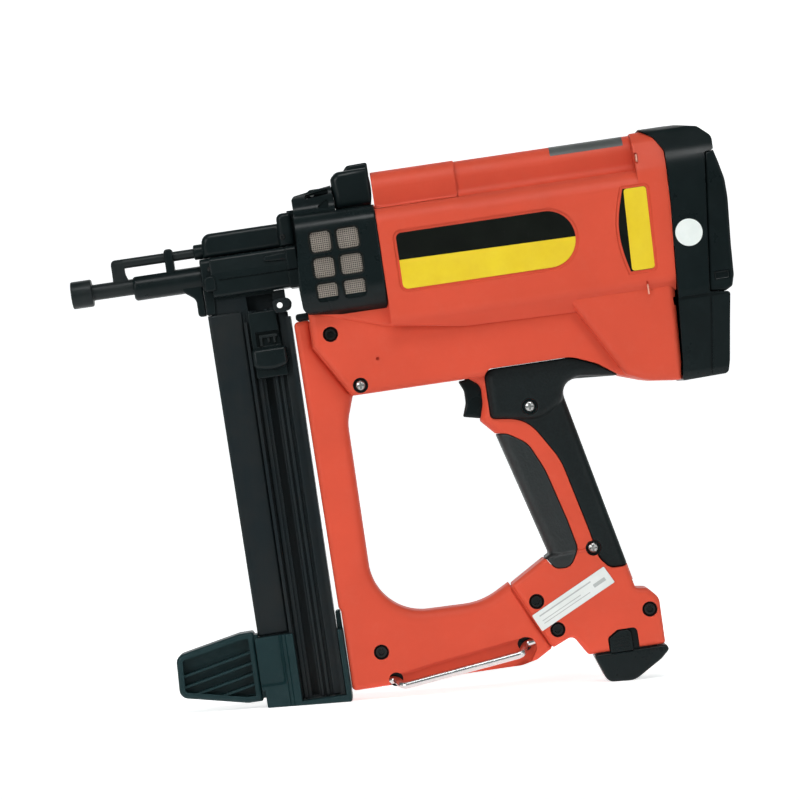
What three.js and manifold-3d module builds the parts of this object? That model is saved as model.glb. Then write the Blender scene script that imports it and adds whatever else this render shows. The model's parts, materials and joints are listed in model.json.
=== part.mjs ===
// Gas-actuated nailer for concrete and steel, standing on its magazine foot and battery.
// Millimetres, +Z up. Inside the group "tool", X runs from the nose back to the filter cover,
// Z runs up from the barrel axis and the tool's left side faces -Y.
import * as THREE from "three";
import { mergeVertices } from "three/addons/utils/BufferGeometryUtils.js";
import Module from "manifold-3d";

const wasm = await Module();
wasm.setup();

// ---------------------------------------------------------------- driving dimensions
const STAND_TILT = 4; // degrees nose down when standing
const GAP = 0.3; // between pieces that touch
const WALL = 3; // housing wall
const RIM_STEPS = 2; // facets across a rounded rim
const BORE = 3.7; // nail passage radius
const BLADE_R = 3; // driver blade
const PROBE_AXIS_Z = 15.8; // actuating rod above the barrel axis
const ROD_R = 3.2;
const NOSE_X0 = 86; // front of the nose block
const SHROUD_X0 = 150; // front of the vented shroud
const SHROUD_X1 = 204; // back of the shroud and the gas door
const FOOT_HEEL = [143.5, -288]; // the magazine foot's rear lower corner, which stands on the floor
const BODY_HALF = 40.5; // half width of the upper body
const LOWER_HALF = 27.5; // half width of the lower body
const GRIP_HALF = 17.5; // half width of the handle
const SKIN = 2.6; // soft grip thickness
const BASE_HALF = 19.5; // half width of the handle base and the battery
const FRAME_HALF = 16.5; // half width of the column and the bridge
const CYLINDER_R = 21;
const CAN_Z = 34.4; // gas can axis
const CAN_R = 12;
const HANDLE_LEAN = 14; // degrees, the way the battery slides out
const DOOR_PIVOT = [165, 42];
const TRIGGER_PIVOT = [252.5, -84];
const BAIL_FRONT = [172, -278];
const BAIL_BACK = [261, -267.5];
const BAIL_Y = -12;
const BAIL_POCKET_Y = -10.6; // floor of the finger recess behind the bail
const FACET = 0.32; // largest gap between an arc and its facets

const rad = THREE.MathUtils.degToRad;
const floorZ = (x) => FOOT_HEEL[1] - (x - FOOT_HEEL[0]) * Math.tan(rad(STAND_TILT));

// ---------------------------------------------------------------- solids
function solid(geometry) {
  const plain = geometry.index ? geometry.toNonIndexed() : geometry;
  const bare = new THREE.BufferGeometry();
  bare.setAttribute("position", plain.getAttribute("position"));
  const merged = mergeVertices(bare, 1e-4);
  const points = merged.attributes.position.array;
  const kept = [];
  for (let i = 0; i < merged.index.count; i += 3) {
    const [a, b, c] = [merged.index.getX(i), merged.index.getX(i + 1), merged.index.getX(i + 2)];
    if (a !== b && b !== c && c !== a) kept.push(a, b, c);
  }
  const build = (order) =>
    new wasm.Manifold(new wasm.Mesh({ numProp: 3, vertProperties: points,
      triVerts: new Uint32Array(order) }));
  const made = build(kept);
  if (made.volume() > 0) return made;
  for (let i = 0; i < kept.length; i += 3) [kept[i + 1], kept[i + 2]] = [kept[i + 2], kept[i + 1]];
  return build(kept);
}
const join = (...all) => all.reduce((a, b) => a.add(b));
const cut = (a, ...others) => others.reduce((left, b) => left.subtract(b), a);
const both = (a, b) => a.intersect(b);

// Corners [x, y, radius]: an outline whose corners are arcs.
// grow moves every side outwards, or inwards when it is negative.
function outline(corners, grow = 0) {
  const anticlockwise = THREE.ShapeUtils.area(corners.map(([x, y]) => ({ x, y }))) > 0;
  return { corners: anticlockwise ? corners : [...corners].reverse(), grow };
}
function ring(shape, inset = 0) {
  const { corners } = shape;
  const grow = shape.grow - inset;
  const n = corners.length;
  const at = corners.map(([x, y]) => new THREE.Vector2(x, y));
  const way = at.map((p, i) => at[(i + 1) % n].clone().sub(p).normalize());
  const turn = at.map((_, i) => way[(i + n - 1) % n].cross(way[i]));
  const moved = at.map((p, i) => {
    const a = way[(i + n - 1) % n];
    const b = way[i];
    const side = new THREE.Vector2(a.y + b.y, -a.x - b.x);
    return p.clone().addScaledVector(side, grow / (1 + a.dot(b)));
  });
  const points = [];
  moved.forEach((p, i) => {
    const a = way[(i + n - 1) % n];
    const b = way[i];
    const angle = Math.atan2(turn[i], a.dot(b));
    const drawn = corners[i][2] || 0;
    if (drawn < 0.2 || Math.abs(angle) < 0.02) {
      points.push(p);
      return;
    }
    let r = Math.max(0, drawn + (turn[i] > 0 ? grow : -grow));
    const room = Math.min(p.distanceTo(moved[(i + n - 1) % n]), p.distanceTo(moved[(i + 1) % n])) * 0.49;
    let reach = r * Math.tan(Math.abs(angle) / 2);
    if (reach > room) {
      r *= room / reach;
      reach = room;
    }
    const steps = Math.max(1, Math.ceil(Math.abs(angle) / (2 * Math.acos(1 - Math.min(0.9, FACET / drawn)))));
    const start = p.clone().addScaledVector(a, -reach);
    const centre = start.clone().addScaledVector(new THREE.Vector2(-a.y, a.x), Math.sign(angle) * r);
    for (let k = 0; k <= steps; k += 1) {
      points.push(r > 0.01 ? start.clone().rotateAround(centre, (angle * k) / steps) : p);
    }
  });
  return points;
}

// The outline raised from 0 to depth, its two rims rounded to the radius rim.
function extruded(shape, depth, rim, rimSteps) {
  const levels = [];
  for (let k = 0; k <= (rim > 0 ? rimSteps : 0); k += 1) {
    const a = rim > 0 ? (Math.PI / 2) * (k / rimSteps) : Math.PI / 2;
    const low = rim * (1 - Math.cos(a));
    levels.splice(k, 0, [low, rim * (1 - Math.sin(a))], [depth - low, rim * (1 - Math.sin(a))]);
  }
  const rings = levels.map(([z, inset]) => ring(shape, inset).map((p) => new THREE.Vector3(p.x, p.y, z)));
  const corners = [];
  const cap = (points, up) => {
    const single = points.filter((p, i) => p.distanceTo(points[(i + 1) % points.length]) > 1e-3);
    const flat = single.map((p) => new THREE.Vector2(p.x, p.y));
    for (const [a, b, c] of THREE.ShapeUtils.triangulateShape(flat, [])) {
      corners.push(single[a], single[up ? b : c], single[up ? c : b]);
    }
  };
  cap(rings[0], false);
  for (let k = 1; k < rings.length; k += 1) {
    const [low, high] = [rings[k - 1], rings[k]];
    low.forEach((p, i) => {
      const j = (i + 1) % low.length;
      corners.push(p, low[j], high[j], p, high[j], high[i]);
    });
  }
  cap(rings[rings.length - 1], true);
  return new THREE.BufferGeometry().setFromPoints(corners);
}
// Outline in X-Z, from y0 to y1, with rounded rims.
const slab = (shape, y0, y1, rim = 0, rimSteps = RIM_STEPS) =>
  solid(extruded(shape, y1 - y0, rim, rimSteps).rotateX(Math.PI / 2).translate(0, y1, 0));
const [EX, EY, EZ] = [new THREE.Vector3(1, 0, 0), new THREE.Vector3(0, 1, 0), new THREE.Vector3(0, 0, 1)];
const ALONG_X = new THREE.Matrix4().makeBasis(EY, EZ, EX);
// Section in Y-Z, from x0 to x1.
const bar = (shape, x0, x1, rim = 0) =>
  solid(extruded(shape, x1 - x0, rim, 2).applyMatrix4(ALONG_X).translate(x0, 0, 0));
const box = (x0, x1, y0, y1, z0, z1) =>
  solid(new THREE.BoxGeometry(x1 - x0, y1 - y0, z1 - z0).translate((x0 + x1) / 2, (y0 + y1) / 2,
    (z0 + z1) / 2));
const LATHE_X = new THREE.Matrix4().makeBasis(EZ, EX, EY);
// Profile of [radius, x] turned about an X-wise axis at height z and offset y.
function turned(profile, z = 0, sides = 28, y = 0) {
  const points = profile.map(([r, x]) => new THREE.Vector2(r, x));
  return solid(new THREE.LatheGeometry(points, sides).applyMatrix4(LATHE_X).translate(0, y, z));
}
const rod = (r, x0, x1, z = 0, sides = 20, y = 0) =>
  turned([[0, x0], [r, x0], [r, x1], [0, x1]], z, sides, y);
// Round bar along Y at (x, z).
const cross = (r, x, z, y0, y1, sides = 14) =>
  solid(new THREE.CylinderGeometry(r, r, y1 - y0, sides).translate(x, (y0 + y1) / 2, z));
const circle = (x, y, r, n = 16) =>
  Array.from({ length: n }, (_, i) => {
    const a = (2 * Math.PI * i) / n;
    return new THREE.Vector2(x + r * Math.cos(a), y + r * Math.sin(a));
  });

class Coil extends THREE.Curve {
  constructor(start, along, radius, turns) {
    super();
    Object.assign(this, { start, along, radius, turns });
    this.side = new THREE.Vector3(0, 1, 0);
    this.up = along.clone().normalize().cross(this.side).normalize();
  }
  getPoint(t) {
    const a = 2 * Math.PI * this.turns * t;
    return this.start
      .clone()
      .addScaledVector(this.along, t)
      .addScaledVector(this.side, this.radius * Math.cos(a))
      .addScaledVector(this.up, this.radius * Math.sin(a));
  }
}
function wire(path, r, steps, sides = 6) {
  const shape = new THREE.Shape(circle(0, 0, r, sides));
  return solid(new THREE.ExtrudeGeometry(shape, { extrudePath: path, steps, bevelEnabled: false }));
}
const coil = (start, end, radius, turns, r, perTurn = 8, sides = 4) =>
  wire(new Coil(start, end.clone().sub(start), radius, turns), r, Math.round(turns * perTurn), sides);

const tool = new THREE.Group();
tool.name = "tool";
function add(name, made, look) {
  const mesh = made.asOriginal().simplify(0.07).getMesh();
  const stride = mesh.numProp;
  const points = new Float32Array(mesh.numVert * 3);
  for (let i = 0; i < mesh.numVert; i += 1) {
    points.set(mesh.vertProperties.subarray(i * stride, i * stride + 3), i * 3);
  }
  const indexed = new THREE.BufferGeometry();
  indexed.setAttribute("position", new THREE.BufferAttribute(points, 3));
  indexed.setIndex(new THREE.BufferAttribute(mesh.triVerts, 1));
  const geometry = indexed.toNonIndexed();
  geometry.computeVertexNormals();
  const piece = new THREE.Mesh(geometry, new THREE.MeshStandardMaterial(look));
  piece.name = name;
  tool.add(piece);
}

// ---------------------------------------------------------------- looks
const ORANGE = { color: 0xd6533a, roughness: 0.45, metalness: 0 };
const BLACK = { color: 0x1a2022, roughness: 0.5, metalness: 0 };
const SOFT = { color: 0x14191a, roughness: 0.75, metalness: 0 };
const DARK_METAL = { color: 0x23282a, roughness: 0.42, metalness: 0.7 };
const STEEL = { color: 0x9a9a98, roughness: 0.35, metalness: 0.9 };
const CHROME = { color: 0xd8d8d4, roughness: 0.15, metalness: 1 };
const ALLOY = { color: 0xa7aaab, roughness: 0.4, metalness: 0.8 };
const YELLOW = { color: 0xe8cd14, roughness: 0.4, metalness: 0 };
const MESH = { color: 0x9c9388, roughness: 0.5, metalness: 0.6 };
const FOAM = { color: 0x3a3d3e, roughness: 0.95, metalness: 0 };
const PAPER = { color: 0xd9e0dd, roughness: 0.55, metalness: 0 };
const BOARD = { color: 0x1f5a34, roughness: 0.6, metalness: 0 };
const BRONZE = { color: 0x8a6b3c, roughness: 0.4, metalness: 0.8 };

// ---------------------------------------------------------------- barrel end and contact probe
const slot = BORE + 0.3;
add(
  "contact_probe",
  cut(
    join(
      turned([[0, 0], [8.2, 0], [9, 0.9], [9, 13], [8.2, 14], [5.2, 14.6], [5.2, 64], [0, 64]]),
      slab(outline([[28.2, 3.5, 0], [38.8, 3.5, 0], [36.8, 9, 4], [36.8, 18.9, 1], [28.2, 18.9, 3]]), -3, 3,
        0.8, 1),
      turned([[0, 30], [ROD_R, 30], [ROD_R, 93], [4.8, 93], [4.8, 95], [ROD_R, 95], [ROD_R, 153], [0, 153]],
        PROBE_AXIS_Z, 18),
    ),
    rod(3.6, -1, 65, 0, 20),
  ),
  DARK_METAL,
);

const footSide = outline([[72, -8, 3], [80.4, -14.5, 5], [80.4, -26, 2], [85.6, -26, 1], [85.6, -4, 0], [72,
  -4, 0]]);
add(
  "fastener_guide",
  cut(
    join(
      turned([[0, 41], [7.2, 41], [8.3, 42.6], [8.3, 85.7], [0, 85.7]], -1.2),
      slab(footSide, -6.5, 6.5, 1.2, 2),
      slab(outline([[63.6, 5, 0], [69.4, 5, 0], [69.4, 21, 2], [63.6, 21, 2]]), -5.6, 5.6, 1.2, 2),
    ),
    rod(5.7, 40, 87, 0, 24),
    rod(3.5, 60, 72, PROBE_AXIS_Z, 18),
    box(40, 63.6, -3.5, 3.5, 2, 12),
  ),
  BLACK,
);

const blockSection = outline([[-13, -15.4, 2.5], [13, -15.4, 2.5], [14, 0, 4], [12, 10.9, 3], [-12, 10.9, 3],
  [-14, 0, 4]]);
const sideGroove = (s) => box(97, 151, Math.min(s * 13, s * 20), Math.max(s * 13, s * 20), -5, -3.9);
add(
  "nose_block",
  cut(
    join(
      bar(blockSection, 92.3, 149.7, 0.8),
      bar(outline([[-11.5, -9.6, 3], [11.5, -9.6, 3], [11.5, 10.9, 4], [-11.5, 10.9, 4]]), NOSE_X0, 93, 0.8),
      bar(outline([[-16, -16.2, 2], [16, -16.2, 2], [16, 10.9, 3], [-16, 10.9, 3]]), 142.5, 149.7, 0.8),
      slab(outline([[87.3, -10.8, 2], [95, -10.8, 2], [95, -1, 3], [87.3, -1, 3]]), -15, 15, 0.8, 1),
      slab(outline([[NOSE_X0, -26, 1], [92, -26, 1], [92.7, -12, 0], [92.7, -8, 0], [NOSE_X0, -8, 0]]), -7.9,
        7.9, 1, 1),
    ),
    box(88.6, 93, -6, 6, -27, -15.7),
    rod(5.8, 85, 90.5, 0, 24),
    rod(BORE + 0.6, 89, 151, 0, 20),
    box(90.2, 134.5, -slot, slot, -17, 0),
    rod(5.7, 91, 151, PROBE_AXIS_Z, 20),
    sideGroove(-1),
    sideGroove(1),
  ),
  BLACK,
);

add(
  "nose_cover",
  cut(
    join(
      slab(outline([[89, 11.3, 0], [141, 11.3, 0], [141, 27, 0], [89, 27, 6]]), -9, 9, 3.5),
      slab(outline([[139.6, 11.3, 0], [149.7, 11.3, 0], [149.7, 33, 2], [139.6, 33, 4]]), -13, 13, 3),
      rod(5, 83, 90, 16.3, 18),
    ),
    rod(ROD_R + 0.35, 82, 151, PROBE_AXIS_Z, 18),
    rod(5.7, 92.6, 137.6, PROBE_AXIS_Z, 20),
  ),
  BLACK,
);
add(
  "return_spring",
  coil(new THREE.Vector3(95.9, 0, PROBE_AXIS_Z), new THREE.Vector3(136.6, 0, PROBE_AXIS_Z), 4.4, 8, 0.5, 8,
    4),
  STEEL,
);

// ---------------------------------------------------------------- drive: cylinder, piston, chamber
add(
  "cylinder",
  cut(
    turned([[0, 150.4], [8, 150.4], [8, 184], [CYLINDER_R - 1, 184], [CYLINDER_R, 185], [CYLINDER_R, 335.6],
      [24, 335.6], [24, 340], [0, 340]], 0, 24),
    turned([[0, 188], [19, 188], [19, 341], [0, 341]], 0, 24),
    rod(BORE + 0.6, 150, 189, 0, 20),
    ...[0, 1, 2, 3].map((i) => box(206, 211, -2.5, 2.5, 15, 25).rotate([45 + 90 * i, 0, 0])),
  ),
  STEEL,
);
add("bumper", cut(turned([[0, 188.4], [18.6, 188.4], [18.6, 202], [14, 205], [0, 205]]), rod(4.4, 188, 206)),
  SOFT);
add(
  "piston_driver",
  turned([[0, 134], [BLADE_R, 134], [BLADE_R, 316], [7, 320], [18.8, 320], [18.8, 324], [17.8, 324], [17.8,
    326],
    [18.8, 326], [18.8, 332], [12, 332], [12, 329], [0, 329]], 0, 22),
  STEEL,
);
const sleeveIn = 25.6;
const sleeveOut = 28;
add(
  "combustion_sleeve",
  cut(turned([[0, 336], [sleeveOut, 336], [sleeveOut, 380], [0, 380]], 0, 28), rod(sleeveIn, 335, 381, 0,
    28)),
  ALLOY,
);
const yoke = outline([[-31, -5, 4], [-12, -12, 5], [12, -12, 5], [31, -5, 4], [31, 5, 4], [12, 12, 4], [8,
  20.5, 3],
  [-8, 20.5, 3], [-12, 12, 4], [-31, 5, 4]]);
add(
  "probe_link",
  join(
    cut(bar(yoke, 153.3, 156.8), rod(8.8, 150, 160, 0, 24)),
    ...[-1, 1].map((s) => rod(2.2, 156, 335.6, 0, 10, s * 26.8)),
  ),
  STEEL,
);
const headPlate = outline([[-38, -38, 16], [38, -38, 16], [38, 38, 16], [-38, 38, 16]]);
add(
  "cylinder_head",
  cut(
    join(
      turned([[0, 390], [25.2, 390], [25.2, 397], [15, 397], [15, 406], [0, 406]], 0, 24),
      bar(headPlate, 405.5, 409),
    ),
    rod(12.3, 397.2, 410, 0, 28),
    rod(2.4, 389, 398, 0, 14),
    rod(3.4, 389, 398, -20, 14),
    ...[-1, 1].map((s) => box(404, 410, Math.min(s * 22, s * 32), Math.max(s * 22, s * 32), -20, 20)),
  ),
  ALLOY,
);
add("spark_plug", turned([[0, 388], [1, 388], [1, 390.4], [3, 390.4], [3, 398], [4.6, 398], [4.6, 401], [2.4,
  401],
  [2.4, 404.8], [0, 404.8]], -20, 12), PAPER);
add(
  "fan",
  join(
    turned([[0, 381], [4.5, 381], [5, 382], [5, 387], [1.2, 387], [1.2, 399], [0, 399]], 0, 16),
    ...[0, 1, 2, 3, 4, 5].map((i) =>
      box(383.6, 384.8, -4.5, 4.5, 3, 21).rotate([0, 0, 28]).translate([384.2 * (1 - Math.cos(rad(28))),
        -384.2 * Math.sin(rad(28)), 0]).rotate([60 * i, 0, 0])),
  ),
  BRONZE,
);
add("fan_motor", cut(turned([[0, 397.5], [11.2, 397.5], [11.9, 398.2], [11.9, 410.4], [11.2, 411], [0, 411]],
  0, 24),
  rod(1.6, 397, 400, 0, 12)), STEEL);
add("gas_can", turned([[0, 204.8], [8, 204.8], [CAN_R - 1, 206], [CAN_R, 208], [CAN_R, 309], [CAN_R - 2, 313],
  [6, 315], [5, 320], [3, 320.4], [3, 325.2], [0, 325.2]], CAN_Z, 24), ALLOY);
add(
  "gas_valve",
  slab(outline([[325.6, 33, 1], [388, 33, 1], [388, 40, 3], [360, 45, 6], [325.6, 45, 1]]), -8, 8, 1.5, 1),
  BLACK,
);

// ---------------------------------------------------------------- vented shroud and gas door
const HUMP_HALF = 19.5; // half width of the hump that carries the gas door
const shroudSection = (grow) =>
  outline([[-41, -40.2, 21], [41, -40.2, 21], [41, 27, 16], [HUMP_HALF, 29.5, 3], [HUMP_HALF, 46.4, 12],
    [-HUMP_HALF, 46.4, 12], [-HUMP_HALF, 29.5, 3], [-41, 27, 16]], grow);
const shroudSide = (grow) =>
  outline([[SHROUD_X0, -35, 3], [196, -40.3, 12], [SHROUD_X1, -39.5, 5], [SHROUD_X1, 46.4, 1],
    [179, 46.4, 4], [153, 42.2, 3], [SHROUD_X0, 40, 2]], grow);
const shroudBlock = (grow) =>
  both(bar(shroudSection(grow), SHROUD_X0 - grow, SHROUD_X1 + grow, grow ? 0 : 1.2), slab(shroudSide(grow),
    -45, 45));
const shroudLip = (grow) =>
  slab(outline([[143, -38.1, 1.5], [153, -38.1, 0], [153, -18, 0], [148.5, -18, 1], [147, -21, 1], [147,
    -33.4, 1],
    [143, -33.4, 1.5]], grow), -15 - grow, 15 + grow, grow ? 0 : 1, 1);
const windows = [];
for (const [x0, x1] of [[160.2, 172.8], [177.6, 191]]) {
  for (const [z0, z1] of [[3.5, 16], [-13.2, -1], [-29, -17.6]]) {
    windows.push(outline([[x0, z0, 2.2], [x1, z0, 2.2], [x1, z1, 2.2], [x0, z1, 2.2]]));
  }
}
const between = (shape, a, b) => slab(shape, Math.min(a, b), Math.max(a, b));
const humpSlot = outline([[160.4, 39.2, 0.8], [175.8, 40.6, 0.8], [175.8, 44.2, 1], [160.4, 42, 0.8]]);
const humpNook = outline([[164.6, 32, 1.2], [175, 32, 1.2], [175, 38, 1.2]]);
add(
  "front_shroud",
  cut(
    join(shroudBlock(0), shroudLip(0)),
    both(bar(shroudSection(-2.6), 153, 210), slab(outline([[153, -32.6, 2], [194, -37.8, 4], [210, -37.8, 0],
      [210, 43.8, 0], [179, 43.8, 2], [153, 39.6, 2]]), -45, 45)),
    ...windows.map((w) => slab(w, -50, -30)),
    ...windows.map((w) => slab(w, 30, 50)),
    slab(outline([[178.6, 29.3, 0], [210, 29.3, 0], [210, 60, 0], [177.8, 60, 0], [177.8, 44, 0], [178.6, 38,
      0]]),
      -45, 45),
    box(158.6, 180, -8.3, 8.3, 35.5, 60),
    ...[-1, 1].map((s) => between(humpSlot, s * 14.6, s * 30)),
    ...[-1, 1].map((s) => between(humpNook, s * (HUMP_HALF - 0.9), s * 30)),
    rod(8.6, 149, 154, 0, 24),
    rod(ROD_R + 0.4, 149, 154, PROBE_AXIS_Z, 18),
    cross(1.52, DOOR_PIVOT[0], DOOR_PIVOT[1], -14, 14, 14),
  ),
  BLACK,
);
const grille = (s) =>
  both(
    cut(bar(shroudSection(-2.9), 156.5, 194.5), bar(shroudSection(-3.9), 150, 200)),
    box(150, 200, Math.min(s * 20, s * 50), Math.max(s * 20, s * 50), -32, 19.5),
  );
add("vent_mesh_left", grille(-1), MESH);
add("vent_mesh_right", grille(1), MESH);

const [PX, PZ] = DOOR_PIVOT;
add(
  "gas_door",
  cut(
    join(
      both(
        slab(outline([[179, 29.9, 1], [SHROUD_X1, 29.9, 1], [SHROUD_X1, 54.2, 2], [182, 54, 6], [179, 50,
          3]]),
          -HUMP_HALF, HUMP_HALF, 4),
        cross(38.8, PX, PZ, -30, 30, 96),
      ),
      slab(outline([[187.6, 50, 0], [203.4, 50, 0], [203.4, 58, 1.5], [190, 57.6, 3], [187.6, 55, 1]]), -9,
        9, 1.5, 2),
      slab(outline([[PX - 3.6, PZ - 3.6, 3.5], [182, PZ - 3.6, 0], [182, PZ + 3.4, 0], [PX - 3.6, PZ + 3.6,
        3.5]]),
        -7.6, 7.6, 0.8, 1),
    ),
    slab(outline([[184, 26, 0], [206, 26, 0], [206, 47, 0], [187, 47, 5], [184, 44, 2]]), -14, 14),
    cross(1.6, PX, PZ, -10, 10, 20),
  ),
  BLACK,
);
add("door_pin", cross(1.45, PX, PZ, -13.6, 13.6, 14), STEEL);

// ---------------------------------------------------------------- housing
const SEAM_X = SHROUD_X1 + GAP;
const upperSection = (grow) =>
  outline([[-26, -62, 4], [26, -62, 4], [BODY_HALF, -47, 10], [BODY_HALF, 26, 15], [16.5, 26, 2], [16.5, 51,
    15.5],
    [-16.5, 51, 15.5], [-16.5, 26, 2], [-BODY_HALF, 26, 15], [-BODY_HALF, -47, 10]], grow);
const seam = [[384.3, -112.3, 2], [386, -100, 30], [390, -42, 60], [393, 0, 60], [394, 36, 6], [388, 46, 5],
  [380, 51.5, 0]];
const seamLine = (shift) => seam.map(([x, z, r]) => [x + shift, z, r]);
const upperSide = (grow) =>
  outline([[SEAM_X, -50.3, 0], [212, -51, 20], [250, -57.4, 60], [388.6, -60.4, 0], ...seamLine(0).slice(2),
    [SEAM_X, 51.5, 0]], grow);
const lowerSide = (grow) =>
  outline([[151.6, -30, 0], [151.6, -56.8, 2], [172.4, -91.4, 2], [300, -91.4, 0], [345, -103.5, 20],
    [362, -109.3, 30], ...seamLine(0).slice(0, 2), [389.4, -46, 0], [215, -46, 0], [SEAM_X, -30, 0]], grow);
const rearSide = (grow) =>
  outline([[316, -46, 0], [322.5, -57, 0], [349, -103.6, 5], [360, -108.4, 8], [366, -110, 10],
    ...seamLine(0).slice(0, 2), [389, -46, 0]], grow);
const grip = [[240, -70, 0], [248.6, -91.5, 0], [255.8, -97, 7], [255.2, -109, 10], [252, -119.8, 2],
  [260.8, -129.5, 4], [283.7, -212, 3], [288, -236, 0], [335.4, -236, 0], [305.8, -100.6, 9], [345, -103.4,
    0],
  [345, -70, 0]];
const shoulder = [[259.4, -70, 0], [259.4, -119.2, 3], [292, -125, 20], [307.5, -110, 9], [319, -101.2, 12],
  [345, -103.4, 0], [345, -70, 0]];
const base = [[255.6, -226.2, 1.5], [258, -236.8, 4], [266.6, -248, 15], [278.8, -271.6, 1.5], [291, -266.6,
  4],
  [299.4, -280.2, 3], [350, -280.2, 2], [350.2, -250, 8], [343.6, -242.8, 6], [336, -241.8, 3], [328.6, -210,
    3],
  [283.4, -212, 2]];
const frameSide = [[141.2, -38.6, 3], [143, -226, 1], [144.3, -229, 1], [144.2, -281.4, 3], [256, -281, 12],
  [266, -278.8, 8], [278.3, -272.6, 1.5], [266.2, -248, 15], [257.6, -236.8, 4], [255.2, -226.3, 1.5],
  [236, -237, 45], [166.5, -235.8, 50], [166.5, -108, 30], [172, -91.8, 1.5], [151.2, -57, 2], [151.2, -38.6,
    1]];

const palm = [[258.9, -87.2, 6], [258.9, -119.4, 3], [282, -122.6, 28], [300, -152, 45], [311.5, -200, 60],
  [315.4, -219, 9], [321.5, -226.4, 7], [331, -226.4, 6], [337, -222, 0], [346.5, -104.4, 0], [332, -94, 14],
  [316, -87.2, 22]];
const fingers = [[252, -128.6, 0], [274, -212, 0], [281.6, -214.6, 4], [286, -221.6, 7], [296, -222.4, 9],
  [302.8, -211, 9], [298.6, -192, 40], [289, -157, 50], [280.5, -138.5, 18], [268, -130.3, 12]];

// Points [x, z] of screws that draw the two halves together.
const HOUSING_SCREWS = {
  upper_front: [164, -50],
  pistol_top: [285, -115],
  pistol_low: [312.5, -212],
  lower_front: [178.5, -85.5],
  base_front: [271, -241],
  base_bottom: [282, -261],
  base_rear: [343, -256.5],
};
const FRAME_SCREWS = { bridge: [166.5, -259] };
const capSection = (grow) =>
  outline([[-37, -114.5, 8], [37, -114.5, 8], [42.5, -55, 20], [42.5, 30, 26], [25, 52.4, 14], [-25, 52.4,
    14],
    [-42.5, 30, 26], [-42.5, -55, 20]], grow);
const HEAD_Y = { upper_front: 26, pistol_top: 20.5, pistol_low: 16.5, lower_front: 26, base_front: 18.3,
  base_bottom: 18.3, base_rear: 18.3, bridge: 15.3 };

const gripSolid = (drop) => slab(outline(grip, -drop), -GRIP_HALF + drop, GRIP_HALF - drop, 6.5 - drop * 0.8);
const shoulderSolid = (drop) => slab(outline(shoulder, -drop), -21.5 + drop, 21.5 - drop, 5 - drop * 0.8, 2);
// The shoulder of the lower body that tucks under the shroud.
const cheek = slab(outline([[156.5, -36, 1], [200, -50.4, 40], [252, -57.6, 0], [252, -30, 0], [156.5, -20,
  0]]),
  -29.5, 29.5, 3);
const underShroud = 0.35;
// The spigot that closes the joint with the shroud from inside.
const neck = both(cut(bar(shroudSection(-3), 197, SEAM_X + 1), bar(shroudSection(-5.4), 190, 210)),
  box(190, 210, -50, 50, -50, 28.5));
const outer = join(
  both(join(bar(upperSection(0), SEAM_X, 396, 0), bar(capSection(-2), 375.4, 396)), slab(upperSide(0), -50,
    50)),
  cut(join(slab(lowerSide(0), -LOWER_HALF, LOWER_HALF, 4), cheek), shroudBlock(underShroud),
    shroudLip(underShroud)),
  slab(rearSide(0), -36.5, 36.5, 5),
);
const handle = join(gripSolid(0), shoulderSolid(0));
const handleCore = (more) => join(gripSolid(SKIN + more), shoulderSolid(SKIN + more));
const palmZone = (grow) => slab(outline(palm, grow), -40, 28);
const fingerZone = (grow) => slab(outline(fingers, grow), -40, 28);
const baseSolid = slab(outline(base), -BASE_HALF, BASE_HALF, 4);
const battGap = slab(outline([[313.2, -290, 0], [333, -290, 0], [333, -268.5, 3], [331, -266.6, 2], [320,
  -266.6, 3],
  [313.2, -271, 3]]), -30, 30);

const batteryLean = rad(HANDLE_LEAN);
const slideWay = [Math.sin(batteryLean), -Math.cos(batteryLean)];
const sideWay = [Math.cos(batteryLean), Math.sin(batteryLean)];
const STEM_FOOT = [323.5, -280];
const stemAt = (along, across) => [
  STEM_FOOT[0] - slideWay[0] * along + sideWay[0] * across,
  STEM_FOOT[1] - slideWay[1] * along + sideWay[1] * across,
];
const stem = (grow) =>
  outline([[...stemAt(-4, -15), 0], [...stemAt(-4, 15), 0], [...stemAt(57, 15), 5], [...stemAt(57, -15), 5]],
    grow);

const halfSpace = (s, y) =>
  box(-50, 500, Math.min(s * y, s * 80), Math.max(s * y, s * 80), -340, 120);
const cavity = join(
  both(bar(shroudSection(-5.4), 190, 210), box(190, 210, -50, 50, -50, 28.5)),
  box(190, 210, -13.2, 13.2, 20, 47.2),
  both(bar(upperSection(-WALL), 206.6, 400), slab(outline([[190, -47.3, 0], [212, -48, 20], [250, -54.4, 60],
    [405, -57.6, 0], [405, 47.6, 0], [190, 47.6, 0]]), -50, 50)),
  slab(outline([[155, -41.6, 1], [155, -56, 2], [174.2, -88.4, 2], [256, -88.4, 3], [300, -88.4, 3], [345,
    -100.2, 10],
    [361, -106, 20], [383, -109.2, 0], [400, -109, 0], [400, -50, 0], [230, -50, 0], [SEAM_X + 2, -44.4, 0],
    [190, -44.4, 4]]), -LOWER_HALF + WALL, LOWER_HALF - WALL),
  slab(outline([[336, -52, 0], [360, -103.4, 3], [366, -106, 8], [383, -109.2, 0], [400, -109, 0], [400, -52,
    0]]),
    -33.5, 33.5),
  slab(outline([[262, -84, 0], [263.4, -118, 3], [268, -128, 4], [291, -216, 3], [292, -232, 0], [324, -232,
    0],
    [320, -207, 2], [301, -122, 6], [299, -84, 0]]), -11.8, 11.8),
  slab(outline([[264, -232.5, 3], [271.5, -247, 8], [281, -264.5, 3], [291, -262.6, 3], [302.6, -277, 3],
    [303.4, -290, 0], [346.5, -290, 0], [346.5, -248, 5], [332, -247, 3], [329, -232, 0], [300, -224, 4]]),
  -BASE_HALF + WALL, BASE_HALF - WALL),
);
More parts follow.
